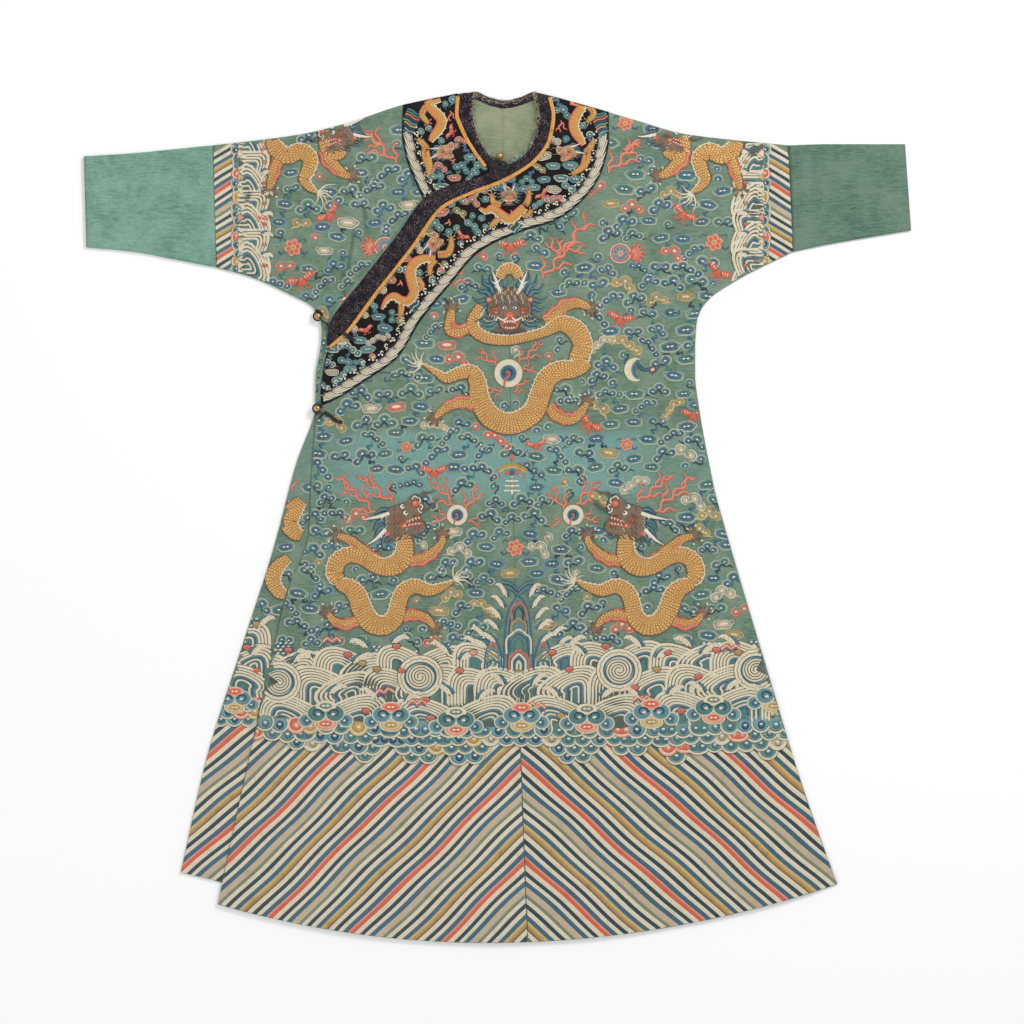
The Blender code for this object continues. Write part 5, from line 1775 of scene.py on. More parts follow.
# the side-faced head, snout up and to the right, its jaws a little open
sideFace = {
    "mane": (((-24, 14), (-36, 16), (-50, 8)), ((-28, 8), (-44, 6), (-56, -6)),
             ((-30, -2), (-44, -6), (-52, -20)),
             ((-30, -12), (-42, -18), (-50, -34)), ((-26, -20), (-34, -32), (-38, -46)),
             ((-16, -24), (-20, -36), (-30, -46)), ((2, -24), (0, -34), (-8, -40)),
             ((18, -24), (26, -30), (36, -28))),
    "horns": (((-24, 9), (-40, 4), (-54, 1), (-70, -2)), ((-30, -18), (-40, -28), (-50, -37), (-62, -44))),
    "skull": ((-31, 0), (-27, 14), (-20, 20), (-9, 23), (3, 27), (10, 35), (18, 40), (26, 36), (31, 27),
              (32, 14),
              (26, 6), (17, 6), (10, -4), (-2, -12), (-14, -20), (-28, -18)),
    "jaw": ((-30, -12), (-14, -14), (0, -13), (14, -9), (26, -5), (34, -7), (37, -16), (30, -23), (16, -27),
            (-4, -28), (-18, -33), (-29, -27)),
    "mouth": ((-6, -14), (4, -4), (16, 4), (26, 6), (33, -6), (20, -12), (4, -15)),
    # lips, the pale curls of the nose, and the long whiskers
    "strokes": (("coral", ((-5, -14), (6, -6), (16, 0), (27, 3)), 2, (3.0,), 6.4, 0.3),
                ("coral", ((-4, -15), (8, -12), (20, -9), (33, -8)), 2, (3.0,), 6.4, 0.3),
                ("white", ((14, 33), (18, 38), (23, 35)), 2, (2.0,), 8.4, 0.3),
                ("white", ((25, 36), (28, 31), (26, 26)), 2, (2.0,), 8.4, 0.3),
                ("white", ((27, 24), (32, 21), (29, 15)), 2, (2.0,), 8.4, 0.3),
                ("white", ((24, 18), (26, 12), (31, 10)), 2, (2.0,), 8.4, 0.3),
                ("bark", ((27, 37), (33, 44), (40, 43), (54, 48)), 2.5, (4.6, 4.0, 3.0, 1.0), 5.0, 0.3),
                ("bark", ((32, 12), (40, 18), (46, 20), (57, 34)), 2.5, (4.6, 4.0, 3.0, 1.0), 5.0, 0.3)),
    # nose, both eyes, a fold at the lips; then the cheek and the jaw's hinge, turned
    "ovals": (("bark", 19.6, 25, 7.4, 7.0, 14, 5.6, 0.2), ("coral", 19.6, 25, 6.0, 5.6, 14, 6.2, 0.8),
              ("salmon", 18.6, 26.4, 3.0, 2.4, 8, 10.8, 0.1), ("navy", -2, 20.5, 5.2, 4.8, 12, 6.0, 0.3),
              ("white", -2, 20.5, 4.2, 3.8, 12, 7.4, 0.3), ("navy", -0.4, 21.46, 1.7, 1.8, 12, 10.6, 0.3),
              ("navy", 3, 9.5, 5.2, 4.8, 12, 6.0, 0.3), ("white", 3, 9.5, 4.2, 3.8, 12, 7.4, 0.3),
              ("navy", 4.6, 10.46, 1.7, 1.8, 12, 10.6, 0.3), ("cream", 1.5, -11.8, 1.8, 2.4, 8, 7.0, 0.2)),
    "turned": (("rust", -8, -3, 7.0, 5.4, 12, 5.0, 0.3), ("coral", -27, -25, 4.6, 3.8, 10, 5.0, 0.4)),
}


def sideHead(work, x, y, size=1.0, angle=0.0, flip=1, level=10.0, fur="umber"):
    s = work.spot(x, y, size, angle, flip)
    face = sideFace
    for points in face["mane"]:
        lock(s, points, 8.4, level - 3)
    for points in face["horns"]:
        s.strokes((("bark", points, 2.5, (9, 7.6, 5.6, 2.4), -0.6, 0.1),
                   ("white", points, 2.5, (7, 5.6, 3.6, 1.0), 0, 0.7)), level)
        horn = flowLine(points, 2.5)
        way = turned((horn[6] - horn[2])[None] * 0.9, 40)[0]
        s.ribbon("white", [horn[4], horn[4] + way], (3.0, 1.0), level + 0.4, 0.4)
    skull, jaw = (flowLine(face[part], 4, True) for part in ("skull", "jaw"))
    for shape in (skull, jaw):
        s.patch("navy", (shape - shape.mean(0)) * 1.06 + shape.mean(0), level - 0.4, 0.2)
    s.patch("rust", face["mouth"], level + 0.2, 0.2)
    for shape in (skull, jaw):
        s.patch(fur, shape, level + 0.6, 0.9)
    # tufts of fur in rows
    for k in range(26):
        place = np.array((-27 + 11.5 * (k % 6) + 3 * math.sin(k * 2.1),
                          -24 + 10.5 * (k // 6) + 2.4 * math.sin(k * 1.3)))
        if inside(place[None], skull)[0] or inside(place[None], jaw)[0]:
            tuft = flowLine([place, place + (-2.6, -2.6), place + (-3.4, -6.4)], 2)
            s.ribbon("taupe" if k % 3 == 0 else "bark", tuft, 1.4, level + 6.2, 0.1)
    for k in range(4):
        for foot, tip, right, up, wide in ((1.8, -2.4, 10 + 5.2 * k, -4.4 + 1.7 * k, 1.6),
                                           (-1.6, 2.2, 9 + 5.4 * k, -9.4 + 0.6 * k, 1.5)):
            tooth = np.array([(-wide, foot), (0.4, tip), (wide, foot)]) + (right, up)
            s.patch("white", tooth, level + 8.0, 0.1)
    s.strokes(face["strokes"], level)
    s.ovals(face["ovals"], level)
    s.ovals(face["turned"], level, angle=30)
    s.ribbon("coral", spiral(-8, -3, 4.4, 1.4, 0, 280), 1.6, level + 6.8, 0.2)
    for k in range(6):
        beard = ((28 - 10 * k, -22 - 1.5 * k), (25 - 10.5 * k, -29 - 1.4 * k), (20 - 11 * k, -33 - 1.2 * k))
        s.strokes((("bark", beard, 2, (6.0, 4.0, 0.8), -0.2, 0.4),), level)


# a tuft of pale hairs fanned out from a tail's tip
def tailTuft(work, x, y, angle, level=6.0):
    s = work.spot(x, y, 1.0, angle)
    for spread, long in ((-62, 20), (-34, 30), (-10, 26), (14, 32), (38, 24), (64, 34)):
        hair = turned([(0, 0), (long * 0.5, long * 0.10), (long, -long * 0.12)], spread)
        s.strokes((("cream", hair, 3, (3.0, 2.2, 0.7), 0, 0.3),), level)


# one tongue of fire: a swelling line with a paler one beside it
def tongue(s, line, width, level):
    out = waysOf(line)[1]
    s.ribbon("coral", line, widthsAlong(line, (width * 0.7, width, width, width * 0.7, 0.7)), level, 0.3)
    s.ribbon("salmon", line + out * width * 0.24,
             widthsAlong(line, (width * 0.3, width * 0.42, width * 0.34, 0.3)),
             level + 2.0, 0.1)


# a line that runs out along x in even waves: y = swing sin(2 pi x / pitch)
def waveLine(length, swing, pitch):
    x = np.linspace(0, length, max(6, round(length / 2.2)))
    return np.stack([x, swing * np.sin(2 * math.pi * x / pitch)], -1)


# fire: a wavering stem, and from every bend a shorter wavering tongue that leans away from it
flame = {"pitch": 29.0, "swing": 4.2, "wide": 5.4, "branch": 33.0, "lean": 38, "every": 19.0}


def blaze(work, x, y, length, angle, size=1.0, flip=1, level=2.4):
    s = work.spot(x, y, size, angle)
    for k, at in enumerate(np.arange(6, length - 6, flame["every"])):
        side = flip * (-1) ** k
        reach = min(flame["branch"], max(12, (length - at) * 0.9))
        branch = turned(waveLine(reach, flame["swing"] * 0.75 * side, flame["pitch"] * 0.8),
                        side * flame["lean"])
        rise = flip * flame["swing"] * math.sin(2 * math.pi * at / flame["pitch"])
        tongue(s, branch + (at, rise), flame["wide"] * 0.85, level)
    tongue(s, waveLine(length, flip * flame["swing"], flame["pitch"]), flame["wide"], level + 0.4)
    way = turned([(1.0, 0.0)], angle)
    work.reserve((x, y) + way * np.linspace(0, length * size, 6)[:, None], np.full(6, 13.0 * size))


def pearl(work, x, y, radius, level=6.0):
    s = work.spot(x, y, radius / 22)
    work.cover([(x, y - 1), (x, y + 1)], np.full(2, radius + 0.5))
    s.ovals((("taupe", 0, 0, 22.8, 22.8, 28, -0.6, 0.4), ("cream", 0, 0, 22, 22, 28, 0, 0.4),
             ("sky", 0, 0, 13.5, 13.5, 20, 2.4, 0.15), ("blue", 0, 0, 11.4, 11.4, 20, 3.2, 0.15)), level)
    s.ribbon("navy", spiral(1, 0, 8.6, 2.6, 200, -90), 2.6, level + 4.6, 0.3)
    s.strokes((("coral", ((-7, -21), (-5, -10), (1, -4), (0, 3), (-4, 1)), 2.0, (3.0,), 5.4, 0.4),), level)


batWing = ((1, 3), (5, 6), (10, 10), (17, 11), (20, 5), (16, 3), (13, -2), (10, 0), (7, -5), (2, -4))


def smallBat(work, x, y, size=1.0, angle=0.0, level=2.6):
    s = work.spot(x, y, size * 1.15, angle)
    for side in (-1, 1):
        s.patch("coral", flowLine(np.array(batWing) * (side, 1), 4, True), level, 0.3)
        s.strokes([("cream", ((6 + 4.2 * k, 5.6 + 1.5 * k), (7.4 + 4 * k, 3 + 0.6 * k)), 3, (1.5,), 2.0, 0.1)
                   for k in range(3)], level, side)
        s.strokes((("rust", ((4, 3), (7, -1), (6, -3)), 3, (1.4,), 2.0, 0.1),
                   ("coral", ((17, 9), (22, 6), (20, 1)), 3, (2.4, 2.2, 0.8), 0, 0.2),
                   ("coral", ((3, -5), (5, -11), (10, -11), (11, -7)), 3, (2.4, 2.2, 0.8), 0, 0.2)), level,
                   side)
    s.patch("coral", ellipse(0, 0, 4.0, 6.4, count=10), level + 0.8, 0.5)
    s.ribbon("salmon", ellipse(0, 3.4, 2.0, 1.6, count=7), 0.9, level + 3.6, 0.1, closed=True)
    work.reserve([(x - 8, y), (x + 8, y)], np.full(2, 10.0 * size))


# six round petals, each with a smaller one on it
def flower(work, x, y, size=1.0, level=2.6):
    s = work.spot(x, y, size)
    for k in range(6):
        way = 60 * k + 15
        outer, inner = turned([(7, 0), (7 * 0.86, 0)], way)
        s.patch("salmon", ellipse(*outer, 5.2, 4.2, count=10, angle=way), level + 0.25 * (k % 2), 0.25)
        s.patch("coral", ellipse(*inner, 3.0, 2.4, count=8, angle=way), level + 1.4, 0.2)
    s.ovals((("straw", 0, 0, 4.0, 4.0, 10, 2.4, 0.3), ("coral", 0, 0, 1.6, 1.6, 7, 4.2, 0.1)), level)
    for side in (-1, 1):
        s.strokes((("blue", ((10, -6), (16, -9), (19, -5)), 2.5, (2.2,), 0, 0.2),
                   ("teal", ((9, 9), (15, 11), (17, 7)), 2.5, (2.0,), 0, 0.2)), level, side)
    work.reserve([(x - 6, y), (x + 6, y)], np.full(2, 15.0 * size))
# clouds
cloudTints = (
    # share, outline, ring, core
    (0.33, "celadon", "blue", "navy"), (0.22, "celadon", "teal", "navy"), (0.21, "celadon", "blue", "blue"),
    (0.05, "salmon", "coral", "cream"), (0.06, "straw", "ochre", "straw"), (0.06, "cream", "taupe", "cream"),
    (0.07, "mist", "blue", "navy"),
)
yokeTints = (
    (0.30, "mist", "pond", "teal"), (0.20, "pond", "blue", "teal"), (0.15, "cream", "taupe", "umber"),
    (0.12, "ochre", "umber", "straw"), (0.15, "salmon", "coral", "rust"), (0.08, "cream", "teal", "blue"),
)


def pickTint(tints):
    pick = rng.random()
    for share, *tint in tints:
        pick -= share
        if pick < 0:
            return tint
    return tints[0][1:]


cloudLine = (0.8, 1.6, 1.75, 1.6, 0.8)


# a cloud like an eye: a pale line in five soft lobes, often left open on one side, round a coloured ring
def eyeCloud(work, x, y, size, tint, angle=0.0, level=1.0, opened=0.0):
    s = work.spot(x, y, size, angle, 1 if opened < 0.5 else -1)
    outline, ring, core = tint
    gap = 0 if opened < 0.4 else 50
    t = np.radians(np.linspace(-90 + gap, 270 - gap * 0.3, 28))
    swell = 1 + 0.07 * np.cos(5 * t + 0.5)
    bow = np.stack([15.6 * swell * np.cos(t), -8.2 * swell * np.sin(t)], -1)
    s.ribbon(outline, bow, widthsAlong(bow, cloudLine), level, 0.3)
    s.ribbon(ring, ellipse(0, 0, 10.2, 4.5, count=18), 3.1, level, 0.2, closed=True)
    s.ovals((("haze", 0, 0, 14.4, 7.4, 14, -0.8, 0.1), (core, 0, 0, 7.6, 2.6, 12, 0.9, 0.1),
             ("white", -3.0, 0.2, 2.6, 1.3, 8, 1.9, 0.1), ("white", 3.0, 0.2, 2.6, 1.3, 8, 1.9, 0.1)), level)


# clouds of curls. Each curl: x, y, radius, the way its back faces; then the dark stem that joins them
cloudForms = (
    (((-8, 0.5, 6.0, 150), (8, 1, 5.6, 30)), ((-9, -1), (-4, -5), (2, -2), (8, -7), (15, -8), (20, -14))),
    (((-10, -2, 5.3, 170), (0.5, 5, 5.8, 88), (11, -2.5, 5.1, 0)),
     ((-11, -3), (-4, -5), (1, 1), (7, -5), (13, -9), (20, -8), (26, -13))),
    (((-2, 2, 6.2, 100), (10, -5, 4.9, -10), (-13, -6, 4.9, 190)),
     ((-14, -8), (-7, -6), (-2, -1), (4, -4), (10, -7), (17, -11), (25, -11))),
    (((-16, 4, 5.0, 150), (-5, 6, 5.2, 95), (6, -1, 5.0, 20), (17, -7, 4.9, -20)),
     ((-17, 2), (-10, 1), (-5, 4), (0, -1), (6, -4), (12, -5), (17, -9), (25, -15))),
    (((0, 1, 6.0, 80),), ((0, -1), (-5, -6), (1, -9), (9, -8), (14, -12))),
)


def curlCloud(work, x, y, size, tint, angle=0.0, flip=1, level=1.0, form=0, tail=True):
    s = work.spot(x, y, size, angle, flip)
    outline, ring, core = tint
    curls, run = cloudForms[form]
    if tail:
        s.strokes(((core if core != "cream" else ring, run, 4, (1.6, 3.4, 3.6, 3.2, 0.8), -0.3, 0.2),), level)
    for cx, cy, r, way in curls:
        back = ellipse(cx, cy, r * 1.58, r * 1.32, way - 122, way + 112, 12)
        s.ribbon(outline, back, widthsAlong(back, cloudLine), level, 0.3)
        inner = ellipse(cx, cy, r * 0.84, r * 0.66, way - 150, way + 150, 11)
        s.ribbon(ring, inner, widthsAlong(inner, (1.6, 3.1, 3.1, 1.8)), level + 0.5, 0.25)
        s.ovals((("haze", cx, cy, r * 1.45, r * 1.2, 9, -0.8, 0.05),
                 (core, cx, cy - 0.2, r * 0.50, r * 0.40, 8, 0.4, 0.1)), level)
        s.patch("white", ellipse(cx + 0.4, cy + 0.1, r * 0.38, r * 0.24, count=8, angle=20), level + 1.9, 0.1)


# a stem steps from one cloud to the next
def stem(work, start, end, thread, level=0.5):
    start, end = np.array(start), np.array(end)
    way = end - start
    side = np.array((-way[1], way[0])) * 0.14
    path = flowLine([start + way * along + side * sway for along, sway in
                     ((0.22, 0), (0.38, 1), (0.52, -0.6), (0.64, 1), (0.80, 0))])
    work.ribbon(thread, path, widthsAlong(path, (1.2, 3.4, 3.8, 3.2, 1.0)), level, 0.25)


sky = {"across": 41.0, "down": 25.5, "jitter": 4.0, "room": (13.0, 8.5), "small": (9.5, 8.0), "fill": 9.0}


def cloudField(work, allowed, low, high, left, right, size=1.0, tints=cloudTints):
    across, down = sky["across"] * size, sky["down"] * size
    ring = ellipse(0, 0, sky["room"][0] * size, sky["room"][1] * size, count=14)
    placed = []
    for row in range(int((high - low) / down) + 1):
        for k in range(int(left // across), int(right // across) + 2):
            jitter = rng.uniform(-1, 1, 2) * sky["jitter"] * size
            at = np.array(((k + 0.5 * (row % 2)) * across, high - row * down)) + jitter
            kind, grow, twist, link = rng.random(4)
            tint = pickTint(tints)
            for nudge in ((0, 0), (9, 0), (-9, 0), (0, 7), (0, -7)):
                spot = at + np.array(nudge) * size
                around = np.vstack([ring + spot, [spot]])
                if allowed(spot[None])[0] and not work.isTaken(around):
                    break
            else:
                continue
            grow = size * (0.88 + 0.26 * grow)
            if kind < 0.36:
                eyeCloud(work, *spot, grow, tint, -10 + 20 * twist, opened=link)
            else:
                curlCloud(work, *spot, grow, tint, -30 + 60 * twist, 1 if link < 0.5 else -1,
                          form=min(3, int((kind - 0.36) * 6.4)))
            work.reserve([spot - (9 * size, 0), spot, spot + (9 * size, 0)], np.full(3, 9.0 * size))
            placed.append((spot, link))
    spots = np.array([spot for spot, link in placed])
    ring = ellipse(0, 0, *(np.array(sky["small"]) * size), count=10)
    fillers = 0
    for y in np.arange(low, high, sky["fill"] * size):
        for x in np.arange(left, right, sky["fill"] * size):
            spot = np.array((x, y)) + rng.uniform(-2, 2, 2) * size
            if allowed(spot[None] + ring).all() and not work.isTaken(np.vstack([ring + spot, [spot]])):
                pick, twist, tail = rng.random(3)
                curlCloud(work, *spot, size * (0.72 + 0.2 * pick), pickTint(tints), -60 + 120 * twist,
                          1 if pick < 0.5 else -1, form=4, tail=tail < 0.75)
                work.reserve(spot[None], np.full(1, 8.0 * size))
                fillers += 1
    for k, (spot, link) in enumerate(placed):
        gaps = np.linalg.norm(spots - spot, axis=1)
        for other in np.argsort(gaps)[1:3]:
            middle = (spots[other] + spot) / 2
            if link < 0.62 and other > k and gaps[other] < 50 * size and not work.isTaken(middle[None]):
                stem(work, spot, spots[other], "navy" if link < 0.16 else "blue" if link < 0.45 else "teal",
                     0.2)
    print(work.zone, "clouds:", len(placed), "and small ones:", fillers)


# what is stitched where
chestDragon = {
    # x, y, width along the body, from behind the head round to the tail
    "neck": ((-28, 348, 15), (-42, 318, 18), (-24, 297, 17), (14, 291, 15), (50, 297, 14), (78, 305, 15),
             (104, 318, 24),
             (128, 308, 31), (140, 284, 31), (134, 262, 31), (136, 248, 30)),
    "body": ((152, 252, 9), (140, 247, 20), (122, 243, 28), (102, 241, 30), (82, 228, 32),
             (70, 200, 33), (58, 172, 34), (23, 154, 34), (-10, 164, 34), (-29, 193, 31), (-33, 222, 27),
             (-44, 239, 23), (-65, 236, 19), (-84, 229, 15), (-102, 239, 9), (-124, 252, 2.5)),
    "limbs": (((-46, 312, 16), (-66, 306, 19), (-78, 310, 18), (-77, 330, 14), (-75, 342, 10)),
              ((78, 322, 17), (96, 336, 20), (114, 350, 19), (134, 352, 15), (152, 344, 9)),
              ((-24, 178, 17), (-50, 190, 20), (-74, 186, 17), (-92, 174, 12), (-102, 164, 8)),
              ((84, 182, 18), (102, 166, 20), (122, 162, 18), (138, 174, 14), (147, 188, 9))),
    "claws": (92, -30, -130, 78), "nape": 1,
    "mane": ((4, 393, 13), (9, 404, 16), (19.6, 409, 18), (30, 404, 16), (35, 393, 13)),
}
skirtDragon = {
    "neck": ((-156, -24, 18), (-152, -42, 26), (-155, -66, 31), (-172, -80, 31), (-196, -80, 26),
             (-222, -66, 24),
             (-244, -62, 25), (-262, -72, 27), (-267, -92, 28), (-258, -106, 20)),
    "body": ((-268, -103, 8), (-257, -110, 20), (-242, -116, 27), (-230, -130, 31), (-223, -150, 32),
             (-209, -172, 32), (-186, -178, 30), (-168, -164, 28), (-162, -140, 26), (-154, -122, 25),
             (-136, -113, 23), (-112, -120, 18), (-90, -114, 12), (-70, -104, 3)),
    "limbs": (((-186, -78, 17), (-208, -64, 18), (-226, -50, 17), (-244, -36, 14), (-262, -30, 9)),
              ((-146, -72, 17), (-122, -68, 18), (-102, -54, 15), (-91, -40, 11), (-90, -30, 8)),
              ((-228, -168, 16), (-250, -176, 17), (-268, -170, 13), (-278, -158, 8)),
              ((-158, -164, 16), (-136, -160, 17), (-116, -166, 13), (-104, -180, 8))),
    "claws": (160, 88, 118, -58), "nape": -1,
}
shoulderDragon = {
    "body": ((-372, 622, 20), (-364, 606, 26), (-346, 594, 26), (-324, 602, 26), (-308, 590, 24),
             (-312, 570, 21),
             (-318, 556, 17), (-308, 542, 12), (-296, 534, 4)),
    "limbs": (((-360, 590, 18), (-366, 570, 18), (-372, 552, 14), (-375, 540, 9)),
              ((-284, 606, 20), (-278, 589, 23), (-265, 574, 19), (-252, 565, 14), (-242, 562, 9))),
    "claws": (-100, 12),
    "chest": ((-278, 636, 18), (-280, 618, 28), (-273, 603, 28), (-260, 598, 20), (-248, 599, 5)),
}


def mirrored(rows, axis):
    return [(2 * axis - row[0], *row[1:]) for row in rows]


def dragonOf(work, plan, axis=None, backs=(1, 1), back=1, level=6.0):
    flip = 1 if axis is None else -1

    def placed(rows):
        return rows if axis is None else mirrored(rows, axis)

    for rows, way, side in zip(plan["limbs"], plan["claws"], backs):
        limb(work, placed(rows), way if flip > 0 else 180 - way, 0.92, side * flip, level - 1.5)
    if "neck" in plan:
        scaledBody(work, placed(plan["neck"]), level - 0.5, plan["nape"] * flip)
    body = placed(plan["body"])
    scaledBody(work, body, level, back * flip)
    way = math.degrees(math.atan2(body[-1][1] - body[-2][1], body[-1][0] - body[-2][0]))
    tailTuft(work, body[-1][0], body[-1][1], way, level)


# a wheel with red fire streaming off it
def fireWheel(work, x, y, flip=1):
    s = work.spot(x, y, 1.0, 0, flip)
    s.ovals((("coral", 23, 0, 12, 10, 14, 2.6, 0.3), ("cream", 0, 0, 17.4, 16.4, 24, 3.2, 0.1),
             ("coral", 0, 0, 16.0, 15.0, 24, 3.8, 0.1), ("mist", 0, 0, 13.4, 12.4, 22, 4.4, 0.2),
             ("cream", 0, 0, 4.2, 4.0, 10, 6.0, 0.1), ("coral", 0, 0, 2.5, 2.4, 8, 6.6, 0.2)))
    for k in range(7):
        tongue(s, turned(waveLine(19 + 4 * (k % 2), 1.8, 12), -75 + 25 * k) + (21, 0), 3.8, 3.0)
    for k in range(8):
        s.ribbon("coral", turned([(3, 0), (11.5, 0)], k * 45 + 10), 1.1, 5.6, 0.1)
        s.patch("blue", ellipse(*turned((8.5, 0), k * 45 + 32), 1.6, 1.3, count=6), 5.8, 0.1)


# a crescent moon, shaded blue on its hollow side, with a blue ribbon tied in a bud
def moonDisc(work, x, y):
    s = work.spot(x, y)
    work.reserve([(x - 8, y), (x, y), (x + 18, y)], np.array((17.0, 19.0, 12.0)))
    for thread, wide, high, widths, level in (("cream", 15.5, 17.5, (0.8, 9, 13, 9, 0.8), 3.0),
                                              ("sky", 8.2, 13.5, (0.5, 3, 4, 3, 0.5), 4.4),
                                              ("blue", 6.0, 11.0, (0.5, 2.4, 3.2, 2.4, 0.5), 5.2)):
        s.strokes(((thread, ellipse(4, 0, wide, high, 72, 288, 16), 0, widths, level, 0.3),))
    tie = ((3, 18), (6, 7), (15, 0), (26, 1))
    s.strokes((("navy", tie, 3, (0.8, 5.4, 6.0, 4.0), 3.4, 0.2),
               ("blue", tie, 3, (0.4, 3.0, 3.4, 2.4), 4.4, 0.2)))
    s.ovals((("navy", 29, 0, 7, 5.6, 12, 3.6, 0.2),))
    s.ovals((("salmon", 29, 0, 4.4, 3.4, 10, 4.8, 0.2), ("cream", 29, 0, 2.0, 1.6, 7, 6.2, 0.1)), angle=30)


def chime(work, x, y):
    s = work.spot(x, y)
    work.reserve([(x, y + 14), (x, y), (x, y - 26)], np.array((12.0, 16.0, 12.0)))
    s.patch("coral", [(-5, 26), (0, 31), (5, 26), (0, 22)], 3.0, 0.3)
    s.strokes((("coral", ((0, 21), (0, 13)), 0, (1.8,), 3.0, 0.2),
               ("ochre", ((-24, 6), (-13, 12), (0, 15), (13, 12), (24, 6)), 4, (4.6,), 3.0, 0.3),
               ("straw", ((-22, 2), (-12, 8), (0, 11), (12, 8), (22, 2)), 4, (3.0,), 3.6, 0.3),
               ("coral", ((-20, 2), (-20, -8)), 0, (1.8,), 3.0, 0.2),
               ("coral", ((20, 2), (20, -8)), 0, (1.8,), 3.0, 0.2),
               ("white", ((0, -4), (0, -34)), 0, (3.0,), 3.0, 0.3)))
    s.ovals((("coral", -8, 2, 4.4, 3.4, 10, 3.6, 0.3), ("coral", 8, 2, 4.4, 3.4, 10, 3.6, 0.3),
             ("blue", 0, 2, 5.5, 4.6, 12, 3.6, 0.3)))
    for drop in (-12, -20, -28):
        bar = ((-8 + 0.2 * drop, drop), (8 - 0.2 * drop, drop))
        s.strokes((("white", bar, 0, (2.4,), 3.4, 0.3),))
        s.ovals((("coral", 0, drop + 4, 2.2, 1.8, 8, 4.6, 0.2),))


def fret(work, x, y):
    s = work.spot(x, y)
    work.reserve([(x - 12, y), (x + 12, y)], np.full(2, 14.0))
    for side in (-1, 1):
        s.strokes((("blue", ((4, 12), (20, 12), (20, -2), (11, -2), (11, 5)), 0, (2.6,), 2.0, 0.2),
                   ("sky", ((4, -12), (22, -12), (22, -7)), 0, (2.4,), 2.0, 0.2)), 0, side)
    s.strokes((("blue", ((0, 14), (0, -14)), 0, (2.6,), 2.0, 0.2),))


# small motifs strewn over a cloth. Bats: x, y, size, angle; flowers: x, y, size; fires: as blaze takes them
def strew(work, bats=(), flowers=(), fires=()):
    for row in fires:
        blaze(work, *row)
    for row in bats:
        smallBat(work, *row)
    for row in flowers:
        flower(work, *row)


# the dark yoke
yokeDragons = {
    "front": {"body": ((44, 510, 11), (36, 502, 12), (20, 490, 13), (4, 499, 12), (-8, 508, 10),
                       (-18, 503, 7),
                       (-30, 508, 2)),
              "limbs": (((42, 508, 8), (50, 520, 9), (52, 534, 6)),
                        ((38, 500, 8), (48, 496, 8), (54, 502, 5)),
                        ((8, 494, 8), (-4, 486, 8), (-10, 480, 5)),
                        ((6, 514, 8), (-6, 518, 9), (-9, 528, 5))),
              "claws": (80, 40, 235, 95), "head": (19, 527, 0.36, "facing", 0, 1)},
    "diagonal": {"body": ((-102, 425, 9), (-120, 425, 11), (-136, 418, 13), (-143, 402, 14), (-140, 386, 14),
                          (-137, 370, 13), (-146, 356, 12), (-158, 357, 11), (-170, 364, 9), (-182, 357, 6),
                          (-190, 342, 2)),
                 "limbs": (((-98, 432, 10), (-82, 434, 11), (-76, 446, 9), (-76, 458, 6)),
                           ((-102, 424, 9), (-110, 414, 9), (-111, 402, 6)),
                           ((-136, 374, 9), (-124, 380, 9), (-129, 392, 6)),
                           ((-158, 354, 9), (-158, 342, 9), (-160, 332, 6))),
                 "claws": (90, 265, 120, 265), "head": (-104, 452, 0.40, "side", 36, 1)},
    "left": {"body": ((120, 684, 8), (140, 678, 10), (132, 664, 13), (126, 650, 14), (127, 636, 13),
                      (136, 622, 11), (142, 612, 5)),
             "limbs": (((150, 676, 9), (158, 664, 9), (150, 652, 6)),
                       ((148, 606, 10), (146, 590, 13), (140, 576, 10), (126, 566, 6)),
                       ((146, 600, 9), (154, 610, 9), (157, 616, 6))),
             "claws": (200, 190, 90), "head": (114, 600, 0.42, "side", 34, -1)},
    "right": {"body": ((-94, 688, 8), (-114, 680, 10), (-104, 668, 13), (-92, 654, 14), (-95, 640, 13),
                       (-104, 628, 11), (-110, 618, 5)),
              "limbs": (((-118, 676, 9), (-124, 662, 9), (-116, 650, 6)),
                        ((-118, 612, 10), (-118, 596, 13), (-113, 580, 12), (-113, 566, 6)),
                        ((-116, 606, 9), (-122, 614, 9), (-128, 620, 6))),
              "claws": (-20, 265, 110), "head": (-86, 602, 0.42, "side", -10, 1)},
}


def yokeDragon(work, plan):
    for rows, way in zip(plan["limbs"], plan["claws"]):
        scaledBody(work, rows, 3.0, spines=False, thread="amber")
        claw(work, rows[-1][0], rows[-1][1], way, 0.62, 3.6, "amber")
        line = flowLine(rows)[:, :2]
        work.ribbon("coral", line[: max(3, len(line) // 2)], 1.7, 9.6, 0.2)
    scaledBody(work, plan["body"], 4.0, thread="amber", belly="coral")
    x, y, size, kind, angle, flip = plan["head"]
    work.cover(ellipse(x, y, 14, 12, count=18))
    if kind == "facing":
        facingHead(work, x, y, size, 5.0, "tan")
    else:
        sideHead(work, x, y, size, angle, flip, 5.0, "tan")


# the rope along the yoke's edge: pointed leaves of pale strands laid slantwise, each over the start of the
# next, with half width = half (4 t (1 - t))^0.8 and an S in each: sway sin(2 pi t); curls and drops inside it
rope = {"pitch": 18.5, "length": 40.0, "half": 6.6, "lean": 21, "inset": 10.2, "sway": 1.6, "strand": 2.3,
        "rim": 0.9,
        "strands": (-0.72, -0.25, 0.22, 0.69), "rise": 0.024}


